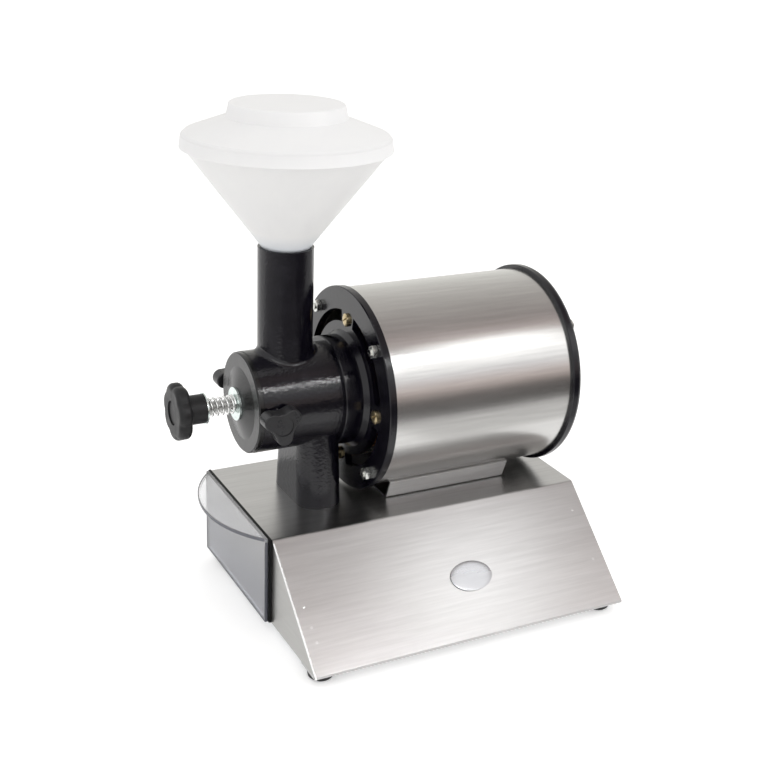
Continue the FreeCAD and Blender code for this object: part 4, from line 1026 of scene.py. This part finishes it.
@dataclass
class MotorDrum:
    """Drum motor: brushed jacket between a slotted flange and a rear cap, with nuts and bolts."""

    nut_flats: float = 0.010
    nut_height: float = 0.005
    nut_chamfer: float = 0.0007
    nut_face_share: float = 0.93
    nut_shoulder_share: float = 0.955
    nut_shoulder_rise: float = 0.35
    nut_columns: int = 72
    stud_radius: float = 0.003
    stud_circle: float = 0.0805
    stud_turn: float = 48.0
    head_radius: float = 0.0058
    head_height: float = 0.003
    head_drop: float = 0.62
    head_rows: int = 14
    head_columns: int = 96
    slot_half_width: float = 0.0007
    slot_depth: float = 0.0012
    slot_turn: float = 0.6
    bolt_circle: float = 0.0641
    bolt_turn: float = 3.0

    @staticmethod
    def around(radius: float, start: float) -> np.ndarray:
        """Find four places a quarter turn apart about the shaft, on the drum's middle plane.

        Args:
            radius: their distance from the shaft.
            start: angle of the first place in degrees.

        Returns:
            Points of shape (4, 3).
        """
        angle = np.radians(start) + Surface.circle(4)
        outward = np.stack([0 * angle, np.cos(angle), np.sin(angle)], axis=-1)
        return np.array(middle("motor_jacket")) + radius * outward

    def nut(self, centre: np.ndarray, start: float) -> np.ndarray:
        """Grid of a hexagon nut: radius = the lesser of the hexagon and the chamfer at each height.

        Args:
            centre: a point on the nut's axis.
            start: place along the shaft where the nut starts.

        Returns:
            Points of shape (rows, columns, 3).
        """
        angle = Surface.circle(self.nut_columns)
        half_flats = self.nut_flats / 2
        hexagon = half_flats / np.cos((angle + TURN / 12) % (TURN / 6) - TURN / 12)
        corner = half_flats / math.cos(TURN / 12)
        limit = np.array(
            [self.stud_radius, half_flats * self.nut_face_share, corner * self.nut_shoulder_share, corner])
        rise = np.array([0, 0, self.nut_shoulder_rise * self.nut_chamfer, self.nut_chamfer])
        along = start - centre[0] + np.concatenate([rise, self.nut_height - rise[::-1]])
        radius = np.minimum(hexagon, np.concatenate([limit, limit[::-1]])[:, None])
        return Surface.turned(along, radius, Axis.X, centre)

    def bolt_head(self, centre: np.ndarray, face: float) -> np.ndarray:
        """Grid of a slotted pan head: height = H * sqrt(1 - drop * s^3) at a share s of its radius.

        Where the distance across the slot is within its half width, the height is that of the slot's floor.

        Args:
            centre: a point on the bolt's axis.
            face: place along the shaft that the head lies on.

        Returns:
            Points of shape (rows, columns, 3).
        """
        share = np.append(np.linspace(0.0, 1.0, self.head_rows), 1.0)[:, None]
        dome = self.head_height * np.sqrt(1 - self.head_drop * share ** 3)
        radius = share * np.full(self.head_columns, self.head_radius)
        across = np.abs(radius * np.sin(Surface.circle(self.head_columns) + self.slot_turn))
        height = np.where(across <= self.slot_half_width, self.head_height - self.slot_depth, dome)
        height[-1] = 0.0
        grid = Surface.turned(np.zeros(len(share)), radius, Axis.X, centre)
        grid[:, :, 0] = face - height
        return grid

    def build(self) -> None:
        """Add chamfered nuts and slotted bolt heads."""
        front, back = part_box("stud_nuts")[0].x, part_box("rear_cap")[1].x
        studs = self.around(self.stud_circle, self.stud_turn)
        nuts = [Sheet(self.nut(centre, start)) for centre in studs for start in (front, back)]
        zinc = Plated("zinc_nut", light=(0.86, 0.87, 0.84), dark=(0.60, 0.61, 0.58))
        place(Surface.piece("hexagon_nuts", nuts, crease=25.0), zinc, "mill", "zinc", "stud_nuts")
        bolts = self.around(self.bolt_circle, self.bolt_turn)
        heads = [Sheet(self.bolt_head(centre, front + self.nut_height)) for centre in bolts]
        brass = Plated(
            "dull_brass", light=(0.70, 0.58, 0.36), dark=(0.40, 0.32, 0.18), roughness=(0.24, 0.42))
        place(Surface.piece("slotted_heads", heads, crease=30.0), brass, "mill", "brass", "stator_bolts")

    def dress(self) -> None:
        """Put the finishes on the drum's own nodes."""
        sheet = BrushedSteel(
            "drum_sheet", light=(0.66, 0.655, 0.64), dark=(0.55, 0.545, 0.535), roughness=(0.20, 0.28))
        dress(sheet, "motor_jacket")
        dress(Enamel("flange_enamel", peel=520.0, depth=0.0002), "front_flange", "rear_cap")
        dress(Plated("zinc_stud", rings=160.0), "jacket_studs", "stator_spacers")
        lamination = Plated("lamination", light=(0.34, 0.34, 0.36), dark=(0.20, 0.20, 0.22), rings=320.0)
        dress(lamination, "stator_core", "rotor_core")
        dress(WoundCopper("wound_copper", centre=tuple(middle("windings"))), "windings")
        steel = Plated("turned_steel", light=(0.70, 0.70, 0.70), dark=(0.50, 0.50, 0.50))
        dress(steel, "motor_shaft", "front_bearing", "rear_bearing")
        dress(RAW_CASTING, "rear_bell")
        dress(MouldedPlastic("fan_plastic"), "cooling_fan")


@dataclass
class GrindingHead:
    """Cast head with its feed tube, chute, front cover, burrs and worm."""

    def dress(self) -> None:
        """Put the finishes on the head's own nodes."""
        dress(Enamel("casting_enamel"), "head_casting")
        dress(TurnedPaint("cover_satin", centre=tuple(middle("front_cover"))), "front_cover")
        washer = Plated(
            "zinc_washer", light=(0.80, 0.87, 0.85), dark=(0.62, 0.70, 0.68), roughness=(0.16, 0.30))
        dress(washer, "cover_washer", "hub_washer", "clamp_washer_front", "clamp_washer_rear")
        iron = Plated(
            "ground_iron", light=(0.44, 0.43, 0.42), dark=(0.24, 0.23, 0.22), roughness=(0.34, 0.52))
        dress(iron, "feed_worm", "rotating_burr", "fixed_burr")
        dress(RAW_CASTING, "burr_carriage")
        dress(ZINC_SCREW, "rotating_burr_screws", "fixed_burr_screws", "head_screws", "chute_screws",
              "screw_clip")


@dataclass
class GrindAdjuster:
    """Star knob, threaded screw and pressure spring."""

    wire: float = 0.001
    wire_sides: int = 14
    spring_radius: float = 0.0074
    spring_turn: float = 0.9
    seat_gap: float = 0.00002
    turns: float = 6.3
    turn_rows: int = 40
    dead_turns: float = 1.0
    dead_pitch: float = 0.00206
    screw_radius: float = 0.005
    neck_radius: float = 0.0036
    neck_lead: float = 0.0001
    thread_pitch: float = 0.0015
    thread_depth: float = 0.0008
    thread_steepness: float = 1.25
    thread_crest: float = 0.15
    pitch_rows: int = 10
    thread_columns: int = 40

    def build(self) -> None:
        """Add the closed-ended spring and the threaded screw."""
        self.build_spring()
        self.build_screw()

    def build_spring(self) -> None:
        """Add the spring: a helix whose pitch is close in the dead turns and even between them.

        Path = (x(t), R cos t, R sin t), with x piecewise linear in t: dead pitch, open pitch, dead pitch.
        """
        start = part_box("hub_washer")[1].x + self.wire + self.seat_gap
        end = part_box("cover_washer")[0].x - self.wire - self.seat_gap
        axis = middle("cover_washer")
        turn = np.linspace(0.0, self.turns, int(self.turns * self.turn_rows) + 1)
        climb = self.dead_turns * self.dead_pitch
        bends = [0, self.dead_turns, self.turns - self.dead_turns, self.turns]
        x = np.interp(turn, bends, [start, start + climb, end - climb, end])
        angle = turn * TURN + self.spring_turn
        outward = np.stack([0 * angle, np.cos(angle), np.sin(angle)], axis=-1)
        path = np.stack([x, 0 * x + axis.y, 0 * x + axis.z], axis=-1) + self.spring_radius * outward
        coil = [Sheet(Surface.tube(path, outward, self.wire, self.wire_sides), capped=True)]
        spring = Surface.piece("pressure_spring", coil, crease=60.0)
        bright = Plated(
            "bright_wire", light=(0.90, 0.90, 0.89), dark=(0.68, 0.68, 0.67), roughness=(0.14, 0.26))
        spring.data.materials.append(bright.material())
        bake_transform(spring)
        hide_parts("adjuster_spring")
        LOG.info("placed %s between mill and carriage", spring.name)

    def build_screw(self) -> None:
        """Add the screw: radius = R - depth * tooth(x / pitch - t / turn) along its thread, and plain neck.

        The tooth is a triangle wave with its crests cut flat.
        """
        low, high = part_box("adjuster_screw")
        axis = (low + high) / 2
        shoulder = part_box("burr_carriage")[0].x - self.neck_lead
        along = np.arange(low.x, shoulder, self.thread_pitch / self.pitch_rows)
        phase = along[:, None] / self.thread_pitch - np.arange(self.thread_columns) / self.thread_columns
        wave = np.abs(2 * (phase % 1.0) - 1)
        tooth = np.clip(self.thread_steepness * wave - self.thread_crest, 0, 1)
        neck = np.full((2, self.thread_columns), self.neck_radius)
        radius = np.concatenate([self.screw_radius - self.thread_depth * tooth, neck])
        along = np.append(along, [shoulder, high.x])
        grid = Surface.turned(along, radius, Axis.X, np.array((0, axis.y, axis.z)))
        steel = Plated(
            "screw_steel", light=(0.72, 0.72, 0.71), dark=(0.50, 0.50, 0.49), roughness=(0.22, 0.36))
        screw = Surface.piece("feed_screw", [Sheet(grid, capped=True)], crease=30.0)
        place(screw, steel, "adjuster", "shaft_steel", "adjuster_screw")

    def dress(self) -> None:
        """Put the finishes on the knob and its insert."""
        knob = MouldedPlastic(
            "knob_plastic", colour=(0.006, 0.006, 0.007), scuffed=(0.016, 0.016, 0.017), gloss=0.34)
        dress(knob, "adjuster_knob")
        dress(Plated("insert_brass", light=(0.66, 0.54, 0.34), dark=(0.38, 0.30, 0.18)), "knob_insert")


@dataclass
class SideClamps:
    """Three-lobed clamp knobs and their studs."""

    def dress(self) -> None:
        """Put the finishes on the knobs and studs."""
        plastic = MouldedPlastic("clamp_plastic", colour=(0.014, 0.014, 0.016), roughness=(0.24, 0.38))
        dress(plastic, "clamp_knob_front", "clamp_knob_rear")
        dress(Plated("zinc_thread", rings=130.0, axis=Axis.Y), "clamp_stud_front", "clamp_stud_rear")


@dataclass
class HopperSet:
    """Milky funnel and its lid."""

    # height over which the funnel's foot gets painted shade
    painted_shade_rise: float = 0.016

    def dress(self) -> None:
        """Put the milky finishes on the funnel and the lid."""
        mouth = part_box("head_casting")[1].z
        # painted shade at the funnel's foot, where it sits in the feed tube's mouth
        dress(MilkyPlastic("milky_funnel", foot=mouth, head=mouth + self.painted_shade_rise), "hopper")
        # painted shade: the lid is made darker than the funnel, against the stronger light on its top
        lid = MilkyPlastic(
            "milky_lid", colour=(0.91, 0.91, 0.912), streaked=(0.895, 0.895, 0.90), through=0.03)
        dress(lid, "hopper_lid")


@dataclass(frozen=True)
class Lamp:
    """A rectangular lamp: its place, its two sides, its power, and whether mirrors see it."""

    name: str
    place: Triple
    sides: Pair
    power: float
    mirrored: bool = True


@dataclass(frozen=True)
class Card:
    """A flat studio card: its glow, its middle and its two half sides."""

    glow: CardGlow
    centre: Triple
    across: Triple
    up: Triple


@dataclass
class Studio:
    """Pale floor, soft lamps, reflecting cards and the camera."""

    eye: Triple = (-0.486458, -0.913674, 0.60069)
    aim: Triple = (0.018557, 0.041772, 0.180477)
    roll: float = 2.344
    lens: float = 60.2008
    sensor: float = 36.0
    sight: float = 50.0
    sky_colour: tuple[float, ...] = (1.0, 0.99, 0.98, 1.0)
    sky_strength: float = 0.88
    floor_reach: float = 9.0
    arc_radius: float = 2.2
    arc_left: float = -0.2
    arc_right: float = 3.4
    arc_start: float = -10.0
    arc_end: float = 200.0
    arc_rows: int = 61
    lamp_aim: Triple = (0.0, 0.0, 0.2)
    lamps: tuple[Lamp, ...] = (
        Lamp("key", (-0.9, -1.5, 1.9), (1.4, 1.0), 6.0),
        Lamp("fill", (1.6, -1.2, 1.2), (1.2, 1.2), 6.0, mirrored=False),
    )
    cards: tuple[Card, ...] = (
        Card(CardGlow("dark_front", (0.12, 0.113, 0.11)), (1.625, -1.4, 0.003), (1.375, 0, 0), (0, 1.0, 0)),
        Card(CardGlow("dim_front", (0.28, 0.27, 0.27)), (-0.125, -1.4, 0.003), (0.375, 0, 0), (0, 1.0, 0)),
        Card(CardGlow("near_front", (0.80, 0.79, 0.78)), (0.72, -0.275, 0.003), (0.6, 0, 0), (0, 0.125, 0)),
        Card(
            CardGlow(
                "left_fade", (0.28, 0.275, 0.275), edge=3.2, centre=(-0.5, -0.95, 0), reach=1.6, core=1.0),
            (-1.75, -1.01, 0.003), (1.25, 0, 0), (0, 1.39, 0)),
        Card(
            CardGlow("slope_box", strength=2.3, edge=0.18, centre=(0.33, -0.318, 0.529), reach=0.15),
            (0.32, -0.33, 0.52), (0.11, 0, 0), (0, 0.084, 0.059)),
        Card(
            CardGlow("left_flag", (0.3, 0.28, 0.275), edge=2.4, centre=(0.115, -0.2645, 0.566), reach=0.13),
            (0.115, -0.2645, 0.566), (0.08, 0, 0), (0, 0.045, 0.032)),
        Card(
            CardGlow("right_flag", (0.3, 0.28, 0.275), edge=2.4, centre=(0.51, -0.2645, 0.566), reach=0.13),
            (0.51, -0.2645, 0.566), (0.07, 0, 0), (0, 0.045, 0.032)),
        Card(CardGlow("spark_strip", strength=55.0), (0.49, -1.01, 1.146), (0.07, 0, 0), (0, 0.022, 0.025)),
    )

    def build(self) -> None:
        """Set up the whole studio."""
        self.build_camera()
        self.build_sky()
        self.build_floor()
        for lamp in self.lamps:
            self.hang(lamp)
        self.build_arc()
        for card in self.cards:
            grid = Surface.flat(card.centre, card.across, card.up)
            self.show_to_mirrors(Surface.piece(card.glow.name, [Sheet(grid, wraps=False)]), card.glow)

    def build_camera(self) -> None:
        """Set the camera: right' = right * cos(roll) + up * sin(roll), about the line of sight."""
        eye, aim = Vector(self.eye), Vector(self.aim)
        forward = (aim - eye).normalized()
        right = forward.cross(Vector(UPWARD)).normalized()
        up = right.cross(forward)
        roll = math.radians(self.roll)
        tilted = right * math.cos(roll) + up * math.sin(roll)
        upright = up * math.cos(roll) - right * math.sin(roll)
        data = bpy.data.cameras.new("camera")
        data.lens = self.lens
        data.sensor_width = self.sensor
        data.clip_end = self.sight
        made = bpy.data.objects.new("camera", data)
        turn = Matrix((tilted, upright, -forward)).transposed().to_4x4()
        made.matrix_world = Matrix.Translation(eye) @ turn
        bpy.context.scene.collection.objects.link(made)
        bpy.context.scene.camera = made

    def build_sky(self) -> None:
        """Set a white background for camera, gloss and clear rays, and an even soft light for the rest."""
        world = bpy.data.worlds.new("studio")
        bpy.context.scene.world = world
        world.use_nodes = True
        tree = world.node_tree
        tree.nodes.clear()
        output = tree.nodes.new("ShaderNodeOutputWorld")
        soft, white = (tree.nodes.new("ShaderNodeBackground") for _ in range(2))
        soft.inputs["Color"].default_value = self.sky_colour
        soft.inputs["Strength"].default_value = self.sky_strength
        white.inputs["Color"].default_value = OPAQUE_WHITE
        mix = tree.nodes.new("ShaderNodeMixShader")
        tree.links.new(seen_rays(tree), mix.inputs["Fac"])
        tree.links.new(soft.outputs["Background"], mix.inputs[1])
        tree.links.new(white.outputs["Background"], mix.inputs[2])
        tree.links.new(mix.outputs["Shader"], output.inputs["Surface"])

    def build_floor(self) -> None:
        """Lay a wide pale floor that keeps the mill's shadow."""
        grid = Surface.flat((0, 0, 0), (self.floor_reach, 0, 0), (0, self.floor_reach, 0))
        made = Surface.piece("floor", [Sheet(grid, wraps=False)])
        made.data.materials.append(PaleFloor("pale_floor").material())

    def hang(self, lamp: Lamp) -> None:
        """Hang a lamp that points at the mill.

        Args:
            lamp: the lamp.
        """
        data = bpy.data.lights.new(lamp.name, "AREA")
        data.shape = "RECTANGLE"
        data.size, data.size_y = lamp.sides
        data.energy = lamp.power
        made = bpy.data.objects.new(lamp.name, data)
        made.location = lamp.place
        made.rotation_mode = "QUATERNION"
        made.rotation_quaternion = (Vector(self.lamp_aim) - Vector(lamp.place)).to_track_quat("-Z", "Y")
        made.visible_glossy = lamp.mirrored
        bpy.context.scene.collection.objects.link(made)

    def build_arc(self) -> None:
        """Bend a card over the mill: point = (x, shaft y - R cos a, shaft z + R sin a), at two places x.

        Each point keeps its share of the card's angle as an attribute, which the glow reads.
        """
        shares = np.linspace(0, 1, self.arc_rows)
        share, x = np.meshgrid(shares, (self.arc_left, self.arc_right), indexing="ij")
        sweep = self.arc_end - self.arc_start
        angle = np.radians(self.arc_start + share * sweep)
        shaft = middle("motor_shaft")
        y = shaft.y - self.arc_radius * np.cos(angle)
        z = shaft.z + self.arc_radius * np.sin(angle)
        made = Surface.piece("studio_arc", [Sheet(np.stack([x, y, z], axis=-1), wraps=False)])
        points = np.empty(len(made.data.vertices) * 3)
        made.data.vertices.foreach_get("co", points)
        _, y, z = points.reshape(-1, 3).T
        turned = (np.degrees(np.arctan2(z - shaft.z, shaft.y - y)) - self.arc_start) % 360
        layer = made.data.attributes.new("angle", "FLOAT", "POINT")
        layer.data.foreach_set("value", turned / sweep)
        self.show_to_mirrors(made, ArcGlow("arc_glow"))

    @staticmethod
    def show_to_mirrors(made: bpy.types.Object, glow: Finish) -> None:
        """Give a card its glow, and show it to mirrors alone.

        Args:
            made: the card.
            glow: its glow.
        """
        made.data.materials.append(glow.material())
        made.visible_camera = False
        made.visible_diffuse = False
        made.visible_shadow = False
        made.visible_transmission = False


def main() -> None:
    """Build and dress every sub-assembly."""
    logging.basicConfig(level=logging.INFO, format="%(message)s")
    base, drawer, drum, adjuster = Base(), FlourDrawer(), MotorDrum(), GrindAdjuster()
    for group in (base, drawer, drum, adjuster):
        group.build()
    for group in (base, drawer, drum, GrindingHead(), adjuster, SideClamps(), HopperSet()):
        group.dress()
    Studio().build()
    bpy.context.scene.view_settings.view_transform = "Standard"


if __name__ == "__main__":
    main()
